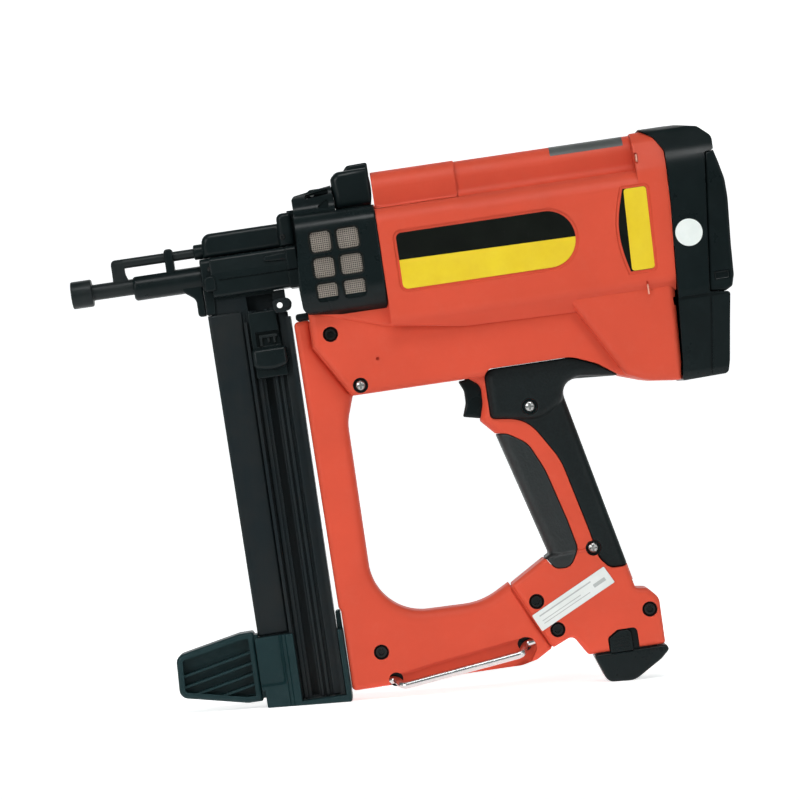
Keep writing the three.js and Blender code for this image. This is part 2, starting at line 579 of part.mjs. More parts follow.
const triggerSlot = slab(outline([[240, -95, 0], [240, -125, 0], [253.5, -125, 0], [263, -119, 3], [268, -88,
  0],
  [262, -76, 0], [243.8, -76, 0], [243.8, -95, 0]]), -8.4, 8.4);
const trimOf = (grow) => ({
  label: outline([[215, -28.5, 3.5], [329.5, -28.5, 18], [329.5, 8, 18], [215, 8, 3.5]], grow),
  badge: outline([[358.5, -38.5, 7], [378, -38.5, 1.5], [379.3, 15, 1.5], [361, 15, 7], [356, -8, 30]], grow),
  paper: outline([[266.6, -249.6, 0.6], [271.8, -260.6, 0.6], [323, -235.8, 0.6], [317.3, -224.8, 0.6]],
    grow),
});
const bosses = Object.values(HOUSING_SCREWS).map(([x, z]) => cross(4.4, x, z, -40, 40, 10));
const hull = join(cut(outer, palmZone(GAP)), both(outer, handleCore(GAP)), cut(handle, palmZone(GAP),
  fingerZone(GAP)), handleCore(GAP), cut(baseSolid, fingerZone(GAP), palmZone(GAP)));
const boredHull = cut(
  join(cut(hull, cavity), both(join(...bosses), hull), neck),
  stemSpace(),
  triggerSlot,
  battGap,
  ...Object.entries(HOUSING_SCREWS).flatMap(([name, [x, z]]) => [
    cross(2.5, x, z, -45, 45, 8),
    cross(5, x, z, -60, -HEAD_Y[name] + 3.6, 12),
  ]),
  ...Object.values(trimOf(GAP)).slice(0, 2).flatMap((t) => [slab(t, -60, -BODY_HALF + 0.8), slab(t,
    BODY_HALF - 0.8, 60)]),
  slab(trimOf(GAP).paper, -60, -BASE_HALF + 0.5),
  cross(1.6, TRIGGER_PIVOT[0], TRIGGER_PIVOT[1], -12.4, 12.4, 20),
  rod(sleeveOut + 0.6, 330, 400, 0, 28),
);
function stemSpace() {
  return slab(stem(0.5), -12, 12);
}
const half = (s, made) => both(made, halfSpace(s, GAP / 2));
function largest(made) {
  return made.decompose().reduce((a, b) => (b.volume() > a.volume() ? b : a));
}
add("housing_left", largest(half(-1, boredHull)), ORANGE);
add("housing_right", largest(half(1, boredHull)), ORANGE);

// ---------------------------------------------------------------- column and bridge
const bailAlong = new THREE.Vector3(BAIL_BACK[0] - BAIL_FRONT[0], 0,
  BAIL_BACK[1] - BAIL_FRONT[1]).normalize();
const bailDown = new THREE.Vector3(bailAlong.z, 0, -bailAlong.x);
const bailPocket = slab(outline([[165, -290, 0], [262, -280, 0], [267.4, -271, 4], [265, -262.8, 5], [252,
  -263.8, 20],
  [200, -270.5, 40], [176, -274.6, 12], [168.4, -274, 4], [166, -279, 2]]), -30, BAIL_POCKET_Y);
const bailWells = [BAIL_FRONT, BAIL_BACK].map(([x, z], i) => cross(4.7, x + (i ? -1.4 : 1.4), z, -30,
  BAIL_Y + 3.8, 20));
const frameOuter = slab(outline(frameSide), -FRAME_HALF, FRAME_HALF, 4);
const frameInner = join(
  slab(outline([[146.6, -43, 3], [147.2, -275, 3], [160, -277, 3], [160, -120, 3], [162.6, -105, 8], [166.4,
    -90, 3],
    [150.4, -62, 3], [148, -43, 2]], -0.3), -FRAME_HALF + WALL, FRAME_HALF - WALL),
  slab(outline([[152, -262, 3], [254, -262, 6], [262, -259, 3], [250, -236, 3], [236, -240, 12], [160, -240,
    20]]),
    -FRAME_HALF + WALL, FRAME_HALF - WALL),
);
const frameBosses = Object.values(FRAME_SCREWS).map(([x, z]) => cross(4.6, x, z, -40, 40, 14));
const BAIL_R = 2.5;
const pinAt = (point, from, to) => {
  const a = new THREE.Vector3(point[0], BAIL_Y, point[1]);
  return new THREE.LineCurve3(a.clone().addScaledVector(bailAlong, from),
    a.clone().addScaledVector(bailAlong, to));
};
const frameHull = cut(
  join(cut(frameOuter, frameInner), both(join(...frameBosses), frameOuter)),
  bailPocket,
  ...bailWells,
  ...Object.entries(FRAME_SCREWS).flatMap(([name, [x, z]]) => [
    cross(2.5, x, z, -45, 45, 8),
    cross(5, x, z, -60, -HEAD_Y[name] + 3.6, 12),
  ]),
);
const frameAll = cut(
  frameHull,
  wire(pinAt(BAIL_FRONT, -8.6, 0), BAIL_R + 0.3, 1, 12),
  wire(pinAt(BAIL_BACK, 0, 8.6), BAIL_R + 0.3, 1, 12),
);
add("frame_left", largest(half(-1, frameAll)), ORANGE);
add("frame_right", largest(half(1, frameAll)), ORANGE);

const away = bailDown.clone().multiplyScalar(5.2).add(new THREE.Vector3(0, -8.6, 0));
const hingeA = new THREE.Vector3(BAIL_FRONT[0], BAIL_Y, BAIL_FRONT[1]);
const hingeB = new THREE.Vector3(BAIL_BACK[0], BAIL_Y, BAIL_BACK[1]);
const bailPoints = [
  hingeA.clone().addScaledVector(bailAlong, -7.5),
  hingeA.clone().addScaledVector(bailAlong, 1.2),
  hingeA.clone().addScaledVector(bailAlong, 5).add(away),
  hingeB.clone().addScaledVector(bailAlong, -5).add(away),
  hingeB.clone().addScaledVector(bailAlong, -1.2),
  hingeB.clone().addScaledVector(bailAlong, 7.5),
];
// A polyline with each inner corner softened by a quadratic arc.
function softPath(points, reach) {
  const path = new THREE.CurvePath();
  let last = points[0];
  for (let i = 1; i < points.length - 1; i += 1) {
    const [p, q] = [points[i - 1], points[i + 1]];
    const before = points[i].clone().add(p.clone().sub(points[i]).setLength(reach));
    const after = points[i].clone().add(q.clone().sub(points[i]).setLength(reach));
    path.add(new THREE.LineCurve3(last, before));
    path.add(new THREE.QuadraticBezierCurve3(before, points[i], after));
    last = after;
  }
  path.add(new THREE.LineCurve3(last, points[points.length - 1]));
  return path;
}
add("bail", wire(softPath(bailPoints, 3), BAIL_R, 40, 8), CHROME);

// ---------------------------------------------------------------- soft grips
const skin = cut(handle, handleCore(0));
const bossHoles = Object.values(HOUSING_SCREWS).map(([x, z]) => cross(6.2, x, z, -40, 40, 12));
const palmSkin = cut(both(skin, palmZone(0)), outerCut(), triggerSlot, ...bossHoles);
function outerCut() {
  return cut(slab(outline([[240, -60, 0], [240, -91, 0], [400, -91, 0], [400, -60, 0]]), -60, 60),
    palmZone(0));
}
add("palm_grip_left", largest(half(-1, palmSkin)), SOFT);
add("palm_grip_right", largest(half(1, palmSkin)), SOFT);
const fingerSkin = cut(both(cut(join(gripSolid(0), both(baseSolid, fingerZone(0))), gripSolid(SKIN)),
  fingerZone(0)), cut(baseSolid, fingerZone(GAP * 0.9)), slab(outline([[285, -217.5, 0], [284, -260, 0],
  [330, -260, 0], [330, -217.5, 0]]), -15.2, 15.2));
add("finger_grip_left", largest(half(-1, fingerSkin)), SOFT);
add("finger_grip_right", largest(half(1, fingerSkin)), SOFT);

// ---------------------------------------------------------------- trim
const trim = trimOf(0);
const plate = (t, s, y0, y1) => slab(t, Math.min(s * y0, s * y1), Math.max(s * y0, s * y1));
for (const [s, side] of [[-1, "left"], [1, "right"]]) {
  add("side_badge_" + side, plate(trim.label, s, BODY_HALF - 0.5, BODY_HALF + 0.5), YELLOW);
  add("end_badge_" + side, plate(trim.badge, s, BODY_HALF - 0.5, BODY_HALF + 0.5), YELLOW);
}
add("rating_label", plate(trim.paper, -1, BASE_HALF - 0.2, BASE_HALF + 0.3), PAPER);

// ---------------------------------------------------------------- rear cover
const capSkirt = (depth, z0, z1) =>
  both(cut(bar(capSection(3), 380, 430), bar(capSection(-depth), 370, 440)), box(370, 440, -60, 60, z0, z1));
const capFront = (shift) => [[380, 52.2, 0], [388.2, 46, 5], [394.2, 36, 6], [393.2, 0, 60], [390.2, -42, 60],
  [386.2, -100, 30], [384.6, -113, 1]].map(([x, z, r]) => [x + shift, z, r]);
const capSide = [...capFront(GAP), [414.6, -112.2, 3], [416.6, -104, 10], [420, -80, 10], [423, -60, 2],
  [418, -58, 1],
  [418, 48.8, 1], [404, 51.8, 8], [396, 52.2, 4]];
const capBody = both(bar(capSection(0), 370, 430), slab(outline(capSide), -50, 50, 3, 2));
add(
  "rear_cover",
  cut(
    capBody,
    both(bar(capSection(-WALL), 360, 414.7), slab(outline([[360, -109, 0], [410, -109, 3], [414.7, -104, 6],
      [414.7, 44, 3], [404, 48.6, 3], [360, 48.6, 0]]), -50, 50)),
    slab(outline([[410, -48, 3], [420, -48, 3], [420, 38, 3], [410, 38, 3]]), -34, 34),
    capSkirt(1.2, -61, -59.6),
    capSkirt(0.5, -120, -60.5),
  ),
  BLACK,
);
add("air_filter", slab(outline([[411.6, -47.6, 2], [417.6, -47.6, 2], [417.6, 37.6, 2], [411.6, 37.6, 2]]),
  -33.6, 33.6), FOAM);
const filterSide = [[418.4, -57.6, 1], [424, -57.6, 2], [427, -50, 3], [428, -30, 30], [430.3, 0, 60], [430,
  12, 20],
  [426.6, 26, 6], [425.6, 42, 7], [418.4, 48.4, 0.6]];
const ventSlots = [];
for (let z = -36; z <= 20; z += 14) ventSlots.push(box(424, 440, -22, 22, z, z + 5));
add(
  "filter_cover",
  cut(
    both(bar(capSection(-1.2), 410, 435), slab(outline(filterSide), -40, 40, 2.5)),
    slab(outline([[414, -50, 0], [422.6, -50, 2], [424.6, -30, 10], [427.2, 0, 20], [423.6, 26, 3], [421.6,
      40, 3],
      [414, 41, 0]]), -34.5, 34.5),
    ...ventSlots,
    ...[-1, 1].map((s) => box(410, 424.5, Math.min(s * 34.6, s * 60), Math.max(s * 34.6, s * 60), -52, -45)),
  ),
  BLACK,
);

// ---------------------------------------------------------------- trigger and electronics
add(
  "trigger",
  join(
    slab(outline([[241.4, -115.6, 1], [253.4, -118.4, 2], [256.6, -108, 10], [257, -98, 6], [255.8, -81.5,
      2.5],
      [249.8, -81.5, 2.5], [246.6, -91.8, 2], [241.4, -92, 1], [244.6, -99, 8], [244.4, -107, 8]]), -7.6,
        7.6, 1.4, 2),
    cross(1.45, TRIGGER_PIVOT[0], TRIGGER_PIVOT[1], -12, 12, 20),
  ),
  BLACK,
);
add("trigger_switch", slab(outline([[271, -110, 1], [285, -108, 1], [287, -96, 1], [271, -94, 1]]), -6, 6),
  DARK_METAL);
add("trigger_spring", coil(new THREE.Vector3(257.9, 0, -101), new THREE.Vector3(270.4, 0, -101), 2.6, 4, 0.4,
  8, 4),
  STEEL);
add(
  "control_board",
  join(box(200, 238, 8, 9.6, -84, -60), box(205, 214, 9.4, 14, -80, -72), box(220, 232, 9.4, 12, -78, -66),
    cross(3.5, 210, -66, 9.4, 19, 12)),
  BOARD,
);

// ---------------------------------------------------------------- battery
const LATCH_Y = 16.6;
const batteryBlock = slab(outline([[302.6, -280.8, 1.5], [309.4, floorZ(309.4), 6], [327, floorZ(327), 12],
  [346, -289.5, 8], [352, -284, 4], [350.4, -280.8, 1]]), -BASE_HALF, BASE_HALF, 1.8, 2);
const batteryNeck = slab(outline([[304.6, -282.4, 0], [344.6, -282.4, 0], [343, -266.6, 2], [303.6, -266.6,
  2]]),
  -15.8, 15.8);
const latchPad = (s, grow) =>
  plate(outline([[313.9, -281.4, 1], [329, -281.4, 1], [329, -269.4, 3], [327.6, -267.6, 2], [320.6, -267.6,
    2],
    [313.9, -271.6, 2]], grow), s, LATCH_Y - 4.6 - grow, BASE_HALF - 0.4 + grow * 40);
add("battery", cut(join(batteryBlock, cut(batteryNeck, latchPad(-1, 0.4), latchPad(1, 0.4)), slab(stem(0),
  -11.4, 11.4,
  1.5, 2)), latchPad(-1, 0.4), latchPad(1, 0.4)), BLACK);
for (const [s, side] of [[-1, "left"], [1, "right"]]) {
  const ribs = [0, 1, 2, 3].map((i) =>
    box(316, 327, Math.min(s * 18.8, s * 19.7), Math.max(s * 18.8, s * 19.7), -279.6 + i * 2.4,
      -278.6 + i * 2.4));
  add("battery_latch_" + side, join(cut(latchPad(s, 0), halfSpace(-s, -LATCH_Y + 2)), ...ribs), BLACK);
}

// ---------------------------------------------------------------- magazine
const MAG_TOP = -16;
const MAG_END = -282.4;
const ridges = [[112, 116], [123.6, 127.4], [130.2, 138]];
add(
  "magazine_rail",
  cut(
    join(
      box(88.9, 110, -6.7, 6.7, MAG_END, MAG_TOP - 11.2),
      box(88.9, 138, -5.6, 5.6, MAG_END, MAG_TOP),
      box(136.8, 139.6, -14, 14, MAG_END, MAG_TOP - 18),
      ...ridges.flatMap(([x0, x1]) => [box(x0, x1, -7.4, -5, MAG_END, MAG_TOP - 10), box(x0, x1, 5, 7.4,
        MAG_END,
        MAG_TOP - 10)]),
      box(109, 111, -13, 13, MAG_END, MAG_TOP - 18),
    ),
    box(90.2, 134, -slot + 0.3, slot - 0.3, MAG_END - 1, MAG_TOP + 1),
    box(117.6, 122.4, -9, 0, MAG_END + 1.5, -23),
    box(112.6, 130, -9, 0, -27, -17.4),
    box(131.4, 139, -9, 9, -30.6, -22.4),
  ),
  DARK_METAL,
);
add(
  "magazine_cover",
  cut(
    slab(outline([[86.3, MAG_TOP - 10.4, 0], [88.2, -237.4, 0], [108.6, -237.4, 0], [108.6, MAG_TOP - 10.4,
      0]]), -8.6,
      8.6, 1.2, 2),
    box(88.5, 112, -7.1, 7.1, -240, -10),
  ),
  DARK_METAL,
);
const PUSHER = [[112.4, -71.6, 1], [133, -71.6, 1], [133, -64, 1], [131.4, -52, 1], [130.6, -28.4, 1.5],
  [112.2, -28.4, 1.5]];
add(
  "nail_follower",
  cut(
    join(
      slab(outline(PUSHER), -12.2, -7.8),
      slab(outline([[111.4, -65, 4], [123, -67.4, 20], [134.6, -65, 4], [134.2, -52.4, 2], [111.6, -52.4,
        2]]), -16, -9, 2.4, 2),
      slab(outline([[117, -50.6, 1], [130, -50.6, 1], [130, -41.4, 1], [117, -41.4, 1]]), -13.4, -9),
      box(118.2, 121.8, -9, -2, -68, -32),
      box(91, 133, -2.9, 2.9, -68, -32),
    ),
    box(119.4, 127.6, -14, -11, -48, -44),
  ),
  BLACK,
);
add(
  "follower_spring",
  coil(new THREE.Vector3(104, 0, -69), new THREE.Vector3(104, 0, -281.6), 2.6, 16, 0.45, 6, 4),
  STEEL,
);
add(
  "magazine_latch",
  cut(
    join(slab(outline([[129.6, -22.8, 1], [133.6, -21.8, 2], [141.4, -21.8, 3.5], [141.8, -29.4, 3.5],
      [136.4, -31, 2],
      [131, -31, 2], [129.6, -28, 1]]), -15.8, -12.6), cross(2.9, 138.9, -25.6, -16.8, -7.8, 14)),
    cross(1.9, 134, -26.2, -20, 0, 14),
  ),
  DARK_METAL,
);
const heel = outline([[88.2, floorZ(88.2), 1], [FOOT_HEEL[0], FOOT_HEEL[1], 1.5], [FOOT_HEEL[0], -240, 2],
  [140, -240, 1], [140, -283, 0], [111.2, -282.9, 0], [111.2, -238.4, 1], [86.2, -238.4, 1.5], [86.2, -273,
    1],
  [88.2, -273, 0]]);
add(
  "magazine_foot",
  cut(
    join(
      slab(heel, -17, 17, 0.9, 2),
      slab(outline([[140, -246, 0], [143.4, -246, 0], [143.4, -228.4, 1], [140.4, -228.4, 1]]), -9, 9, 0.6,
        1),
    ),
    box(88, 109, -9, 9, -238, -237),
    box(88.6, 112, -7, 7, -282.7, -230),
    box(108.7, 112, -13.4, 13.4, -282.7, -230),
    ...[-1, 1].map((s) => slab(outline([[90, -270, 1.5], [103.6, -270, 1.5], [103.6, -242, 1.5], [90, -242,
      1.5]]),
      Math.min(s * 16, s * 30), Math.max(s * 16, s * 30))),
  ),
  BLACK,
);
const wing = [[85.8, -233.8, 2], [76, -234, 10], [33.6, -242.6, 6], [32.4, -269.8, 6], [76, -279.4, 10],
  [85.8, -279.4, 1]];
const RIB_RISE = 0.21;
const footRibs = [];
for (let z = -247; z > -272; z -= 7) {
  const low = z - RIB_RISE * 52;
  footRibs.push(slab(outline([[30, low - 0.9, 0], [86, low + RIB_RISE * 56 - 0.9, 0], [86,
    low + RIB_RISE * 56 + 0.9, 0],
    [30, low + 0.9, 0]]), -11.2, 11.2));
}
const wingRecess = join(...[-1, 1].map((s) => plate(outline(wing, -4), s, 4, 30)));
add(
  "support_foot",
  cut(slab(outline(wing), -13, 13, 2, 2), cut(wingRecess, both(join(...footRibs), slab(outline(wing, -2),
    -20, 20)))),
  BLACK,
);

// ---------------------------------------------------------------- screws
function screw(name, [x, z], headY, socket, look) {
  const y0 = -headY;
  const shank = cross(2.1, x, z, y0 + 2.6, 12, 10);
  const head = cross(4.4, x, z, y0, y0 + 3, 14);
  const hexagon = cross(2.1, x, z, y0 - 1, y0 + 1.8, 6);
  const bars = join(box(x - 2.4, x + 2.4, y0 - 1, y0 + 1.6, z - 0.6, z + 0.6),
    box(x - 0.6, x + 0.6, y0 - 1, y0 + 1.6, z - 2.4, z + 2.4));
  add("screw_" + name, cut(join(head, shank), socket ? hexagon : bars), look);
}
for (const [name, point] of Object.entries({ ...HOUSING_SCREWS, ...FRAME_SCREWS })) {
  const silver = ["pistol_top", "pistol_low", "lower_front"].includes(name);
  screw(name, point, HEAD_Y[name], !silver, silver ? CHROME : DARK_METAL);
}

// ---------------------------------------------------------------- standing pose
tool.rotation.y = -rad(STAND_TILT);
const standing = new THREE.Group();
standing.name = "nailer";
standing.add(tool);
standing.updateMatrixWorld(true);
const extent = new THREE.Box3().setFromObject(standing, true);
tool.position.set(-(extent.min.x + extent.max.x) / 2, -(extent.min.y + extent.max.y) / 2, -extent.min.z);
standing.updateMatrixWorld(true);
export default standing;
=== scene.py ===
"""Looks of the gas-actuated nailer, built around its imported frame.

Shapes are drawn in the tool's own frame in millimetres: X from the nose back to the filter
cover, Z up from the barrel axis, the left side facing -Y. FRAME then places them in the row
frame, in metres.
"""
import bpy
import bmesh
import json
import math
from mathutils import Matrix, Vector


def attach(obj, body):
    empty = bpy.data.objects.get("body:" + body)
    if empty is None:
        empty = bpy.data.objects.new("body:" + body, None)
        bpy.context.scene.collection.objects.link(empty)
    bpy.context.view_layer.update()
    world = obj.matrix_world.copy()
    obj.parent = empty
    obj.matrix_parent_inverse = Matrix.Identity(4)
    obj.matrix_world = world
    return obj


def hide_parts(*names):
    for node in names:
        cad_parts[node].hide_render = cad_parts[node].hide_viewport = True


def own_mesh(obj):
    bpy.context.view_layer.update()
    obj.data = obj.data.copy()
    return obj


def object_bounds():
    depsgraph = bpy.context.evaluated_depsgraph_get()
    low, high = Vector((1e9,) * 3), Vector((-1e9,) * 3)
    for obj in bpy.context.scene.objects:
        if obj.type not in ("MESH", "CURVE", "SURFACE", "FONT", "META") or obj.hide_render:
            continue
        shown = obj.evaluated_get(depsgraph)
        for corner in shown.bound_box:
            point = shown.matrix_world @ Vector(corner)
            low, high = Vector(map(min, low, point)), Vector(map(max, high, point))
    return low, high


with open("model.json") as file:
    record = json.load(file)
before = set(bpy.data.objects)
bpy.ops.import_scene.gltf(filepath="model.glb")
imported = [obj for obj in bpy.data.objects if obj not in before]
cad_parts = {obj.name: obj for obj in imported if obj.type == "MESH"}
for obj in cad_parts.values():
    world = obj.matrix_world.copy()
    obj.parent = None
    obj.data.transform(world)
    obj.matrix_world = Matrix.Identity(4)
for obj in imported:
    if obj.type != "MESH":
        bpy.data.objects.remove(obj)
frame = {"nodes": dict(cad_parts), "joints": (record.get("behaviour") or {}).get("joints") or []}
cad_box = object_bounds()

# ---------------------------------------------------------------- frame and dimensions
MM = 0.001
FAN_X = 384.2  # the fan's turning centre along the barrel axis
JOINTS = {j["name"]: j for j in frame["joints"]}
forward = Vector(JOINTS["fan_spin"]["axis"]).normalized()
upward = Vector((-forward.z, 0, forward.x))
origin = Vector(JOINTS["fan_spin"]["pos_m"]) - forward * FAN_X * MM
FRAME = Matrix((
    (forward.x * MM, 0, upward.x * MM, origin.x),
    (0, MM, 0, origin.y),
    (forward.z * MM, 0, upward.z * MM, origin.z),
    (0, 0, 0, 1),
))
STAND_TILT = math.atan2(forward.z, forward.x)

FACET = 0.03  # largest gap between an arc and its facets
RIM_STEPS = 6
COIL_STEPS = 24  # facets in a turn of a spring
BEND_STEPS = 8  # facets in a bend of the bail wire
SCUFF = 0.25  # how much lighter a scuffed streak of plastic is
PEBBLE = 0.00004  # depths of the plastic's grain and of the metal's scratches, in metres
SCRATCH = 0.00002
GAP = 0.3
WALL = 3
BODY_HALF = 40.5
LOWER_HALF = 27.5
GRIP_HALF = 17.5
SKIN = 2.6
BASE_HALF = 19.5
FRAME_HALF = 16.5
BORE = 3.7
ROD_R = 3.2
ROD_Z = 15.8
SHROUD_X0 = 150
SHROUD_X1 = 204
SEAM_X = SHROUD_X1 + GAP
DOOR_PIVOT = (165, 42)
TRIGGER_PIVOT = (252.5, -84)
BAIL_FRONT = (172, -278)
BAIL_BACK = (261, -267.5)
BAIL_Y = -12
BAIL_POCKET_Y = -10.6
HUMP_HALF = 19.5
BAIL_R = 2.5
SLEEVE_R = 28
SIDES = ((-1, "left"), (1, "right"))
FOOT_HEEL = (143.5, -288)


def floor_z(x):
    return FOOT_HEEL[1] - (x - FOOT_HEEL[0]) * math.tan(STAND_TILT)


# ---------------------------------------------------------------- solids
def mesh_of(points, faces):
    """A closed mesh from points and faces, with repeated points merged and faces turned outwards."""
    mesh = bpy.data.meshes.new("made")
    mesh.from_pydata([tuple(p) for p in points], [], faces)
    bm = bmesh.new()
    bm.from_mesh(mesh)
    bmesh.ops.remove_doubles(bm, verts=bm.verts, dist=2e-4)
    bmesh.ops.dissolve_degenerate(bm, dist=1e-4, edges=bm.edges)
    bmesh.ops.recalc_face_normals(bm, faces=bm.faces)
    bm.to_mesh(mesh)
    bm.free()
    return mesh


def outline(corners, grow=0.0):
    """Corners (x, y, radius) of a shape whose corners are arcs; grow moves every side outwards."""
    twice = sum(a[0] * b[1] - a[1] * b[0] for a, b in zip(corners, corners[1:] + corners[:1]))
    return (corners if twice > 0 else corners[::-1]), grow


def ring(shape, inset=0.0):
    """The shape's points, anticlockwise, after moving every side inwards by inset."""
    corners, grow = shape
    grow -= inset
    n = len(corners)
    at = [Vector(c[:2]) for c in corners]
    way = [(at[(i + 1) % n] - at[i]).normalized() for i in range(n)]
    moved = []
    for i in range(n):
        a, b = way[i - 1], way[i]
        moved.append(at[i] + Vector((a.y + b.y, -a.x - b.x)) * (grow / (1 + a.dot(b))))
    points = []
    for i in range(n):
        a, b, p = way[i - 1], way[i], moved[i]
        turn = a.x * b.y - a.y * b.x
        angle = math.atan2(turn, a.dot(b))
        drawn = corners[i][2]
        if drawn < 0.2 or abs(angle) < 0.02:
            points.append(p)
            continue
        r = max(0.0, drawn + (grow if turn > 0 else -grow))
        room = min((p - moved[i - 1]).length, (p - moved[(i + 1) % n]).length) * 0.49
        reach = r * math.tan(abs(angle) / 2)
        if reach > room:
            r *= room / reach
            reach = room
        steps = max(2, math.ceil(abs(angle) / (2 * math.acos(1 - min(0.9, FACET / drawn)))))
        start = p - a * reach
        centre = start + Vector((-a.y, a.x)) * math.copysign(r, angle)
        for k in range(steps + 1):
            if r > 0.01:
                points.append(centre + Matrix.Rotation(angle * k / steps, 2) @ (start - centre))
            else:
                points.append(p)
    return points


def circle(x, z, r, sides):
    """Points of a circle, anticlockwise."""
    turns = [2 * math.pi * i / sides for i in range(sides)]
    return [Vector((x + r * math.cos(a), z + r * math.sin(a))) for a in turns]


def loft(levels, place):
    """Joins equal rings (height, points) into a closed skin; place maps (x, y, height)."""
    points, faces = [], []
    count = len(levels[0][1])
    for height, flat in levels:
        points += [place(p.x, p.y, height) for p in flat]
    for k in range(len(levels) - 1):
        for i in range(count):
            j = (i + 1) % count
            faces.append((k * count + i, k * count + j, (k + 1) * count + j, (k + 1) * count + i))
    faces.append(tuple(range(count))[::-1])
    faces.append(tuple(range((len(levels) - 1) * count, len(levels) * count)))
    return mesh_of(points, faces)


def raised(shape, depth, rim, place, far_rim=None):
    """The shape raised through depth, its two rims rounded; far_rim is the radius at the far end."""
    far = rim if far_rim is None else far_rim
    levels = []
    for k in range(RIM_STEPS + 1) if rim else [RIM_STEPS]:
        a = math.pi / 2 * k / RIM_STEPS
        levels.append((rim * (1 - math.cos(a)), ring(shape, rim * (1 - math.sin(a)))))
    for k in range(RIM_STEPS, -1, -1) if far else [RIM_STEPS]:
        a = math.pi / 2 * k / RIM_STEPS
        levels.append((depth - far * (1 - math.cos(a)), ring(shape, far * (1 - math.sin(a)))))
    return loft(levels, place)


def slab(shape, y0, y1, rim=0.0, far_rim=None):
    """An outline in X-Z from y0 to y1."""
    return raised(shape, y1 - y0, rim, lambda x, z, h: (x, y0 + h, z), far_rim)


def bar(shape, x0, x1, rim=0.0, far_rim=None):
    """A section in Y-Z from x0 to x1."""
    return raised(shape, x1 - x0, rim, lambda y, z, h: (x0 + h, y, z), far_rim)


def flared(shape, half, r):
    """An outline in X-Z through the whole width, opening out at both faces over the radius r."""
    levels = [(-half - 4, ring(shape, -r))]
    for s in (-1, 1):
        for k in range(RIM_STEPS + 3)[::s]:
            a = math.pi / 2 * k / (RIM_STEPS + 2)
            levels.append((s * (half - r + r * math.sin(a)), ring(shape, -r * (1 - math.cos(a)))))
    levels.append((half + 4, ring(shape, -r)))
    return loft(levels, lambda x, z, y: (x, y, z))


def box(x0, x1, y0, y1, z0, z1, rim=0.0):
    """A block with its edges rounded by rim."""
    return slab(outline([(x0, z0, rim), (x1, z0, rim), (x1, z1, rim), (x0, z1, rim)]), y0, y1, rim)


def turned(profile, z=0.0, sides=64):
    """A profile of (radius, x) turned about an X-wise axis at height z."""
    points, rings, faces = [], [], []
    for r, x in profile:
        if r < 1e-6:
            rings.append([len(points)] * sides)
            points.append((x, 0, z))
        else:
            rings.append([len(points) + i for i in range(sides)])
            points += [(x, p.x, z + p.y) for p in circle(0, 0, r, sides)]
    for low, high in zip(rings, rings[1:]):
        for i in range(sides):
            j = (i + 1) % sides
            corner = list(dict.fromkeys((low[i], low[j], high[j], high[i])))
            if len(corner) > 2:
                faces.append(tuple(corner))
    return mesh_of(points, faces)


def rod(r, x0, x1, z=0.0, sides=48, rim=0.0):
    """A round bar along X, its ends rounded by rim."""
    return turned([(0, x0), (r - rim, x0), *([(r, x0 + rim), (r, x1 - rim)] if rim else [(r, x0), (r, x1)]),
                   *([(r - rim, x1)] if rim else []), (0, x1)], z, sides)


def cross(r, x, z, y0, y1, sides=40, rim=0.0):
    """A round bar along Y at (x, z)."""
    loops = [(y0, r - rim), (y0 + rim, r), (y1 - rim, r), (y1, r - rim)] if rim else [(y0, r), (y1, r)]
    levels = [(y, circle(x, z, q, sides)) for y, q in loops]
    return loft(levels, lambda px, pz, y: (px, y, pz))


def tube(path, r, sides=16):
    """A round wire along a list of points, with a frame carried along it without twist."""
    count = len(path)
    points, faces = [], []
    side = None
    for i, p in enumerate(path):
        before = path[i - 1] if i else p
        after = path[i + 1] if i < count - 1 else p
        way = (after - before).normalized()
        if side is None:
            side = way.orthogonal().normalized()
        side = (side - way * side.dot(way)).normalized()
        up = way.cross(side)
        points += [p + (side * math.cos(2 * math.pi * k / sides) + up * math.sin(2 * math.pi * k / sides)) * r
                   for k in range(sides)]
    for i in range(count - 1):
        for k in range(sides):
            j = (k + 1) % sides
            faces.append((i * sides + k, i * sides + j, (i + 1) * sides + j, (i + 1) * sides + k))
    faces.append(tuple(range(sides))[::-1])
    faces.append(tuple(range((count - 1) * sides, count * sides)))
    return mesh_of(points, faces)


def coil(start, end, radius, turns, r):
    """A spring of round wire from start to end."""
    along = end - start
    side = Vector((0, 1, 0))
    up = along.normalized().cross(side)
    count = round(turns * COIL_STEPS)
    path = []
    for k in range(count + 1):
        a = 2 * math.pi * turns * k / count
        path.append(start + along * (k / count) + side * radius * math.cos(a) + up * radius * math.sin(a))
    return tube(path, r, 8)


scratch = bpy.data.collections.new("scratch")
bpy.context.scene.collection.children.link(scratch)


def combined(base, others, operation):
    """The base mesh after one exact boolean with each of the others."""
    made = bpy.data.objects.new("base", base)
    scratch.objects.link(made)
    used = [made]
    for mesh in others:
        other = bpy.data.objects.new("other", mesh)
        scratch.objects.link(other)
        used.append(other)
        step = made.modifiers.new("step", "BOOLEAN")
        step.operation = operation
        step.solver = "MANIFOLD"
        step.object = other
    graph = bpy.context.evaluated_depsgraph_get()
    result = bpy.data.meshes.new_from_object(made.evaluated_get(graph))
    for o in used:
        bpy.data.objects.remove(o)
    return result


def join(first, *others):
    return combined(first, others, "UNION")


def cut(first, *others):
    return combined(first, others, "DIFFERENCE")


def both(first, *others):
    return combined(first, others, "INTERSECT")


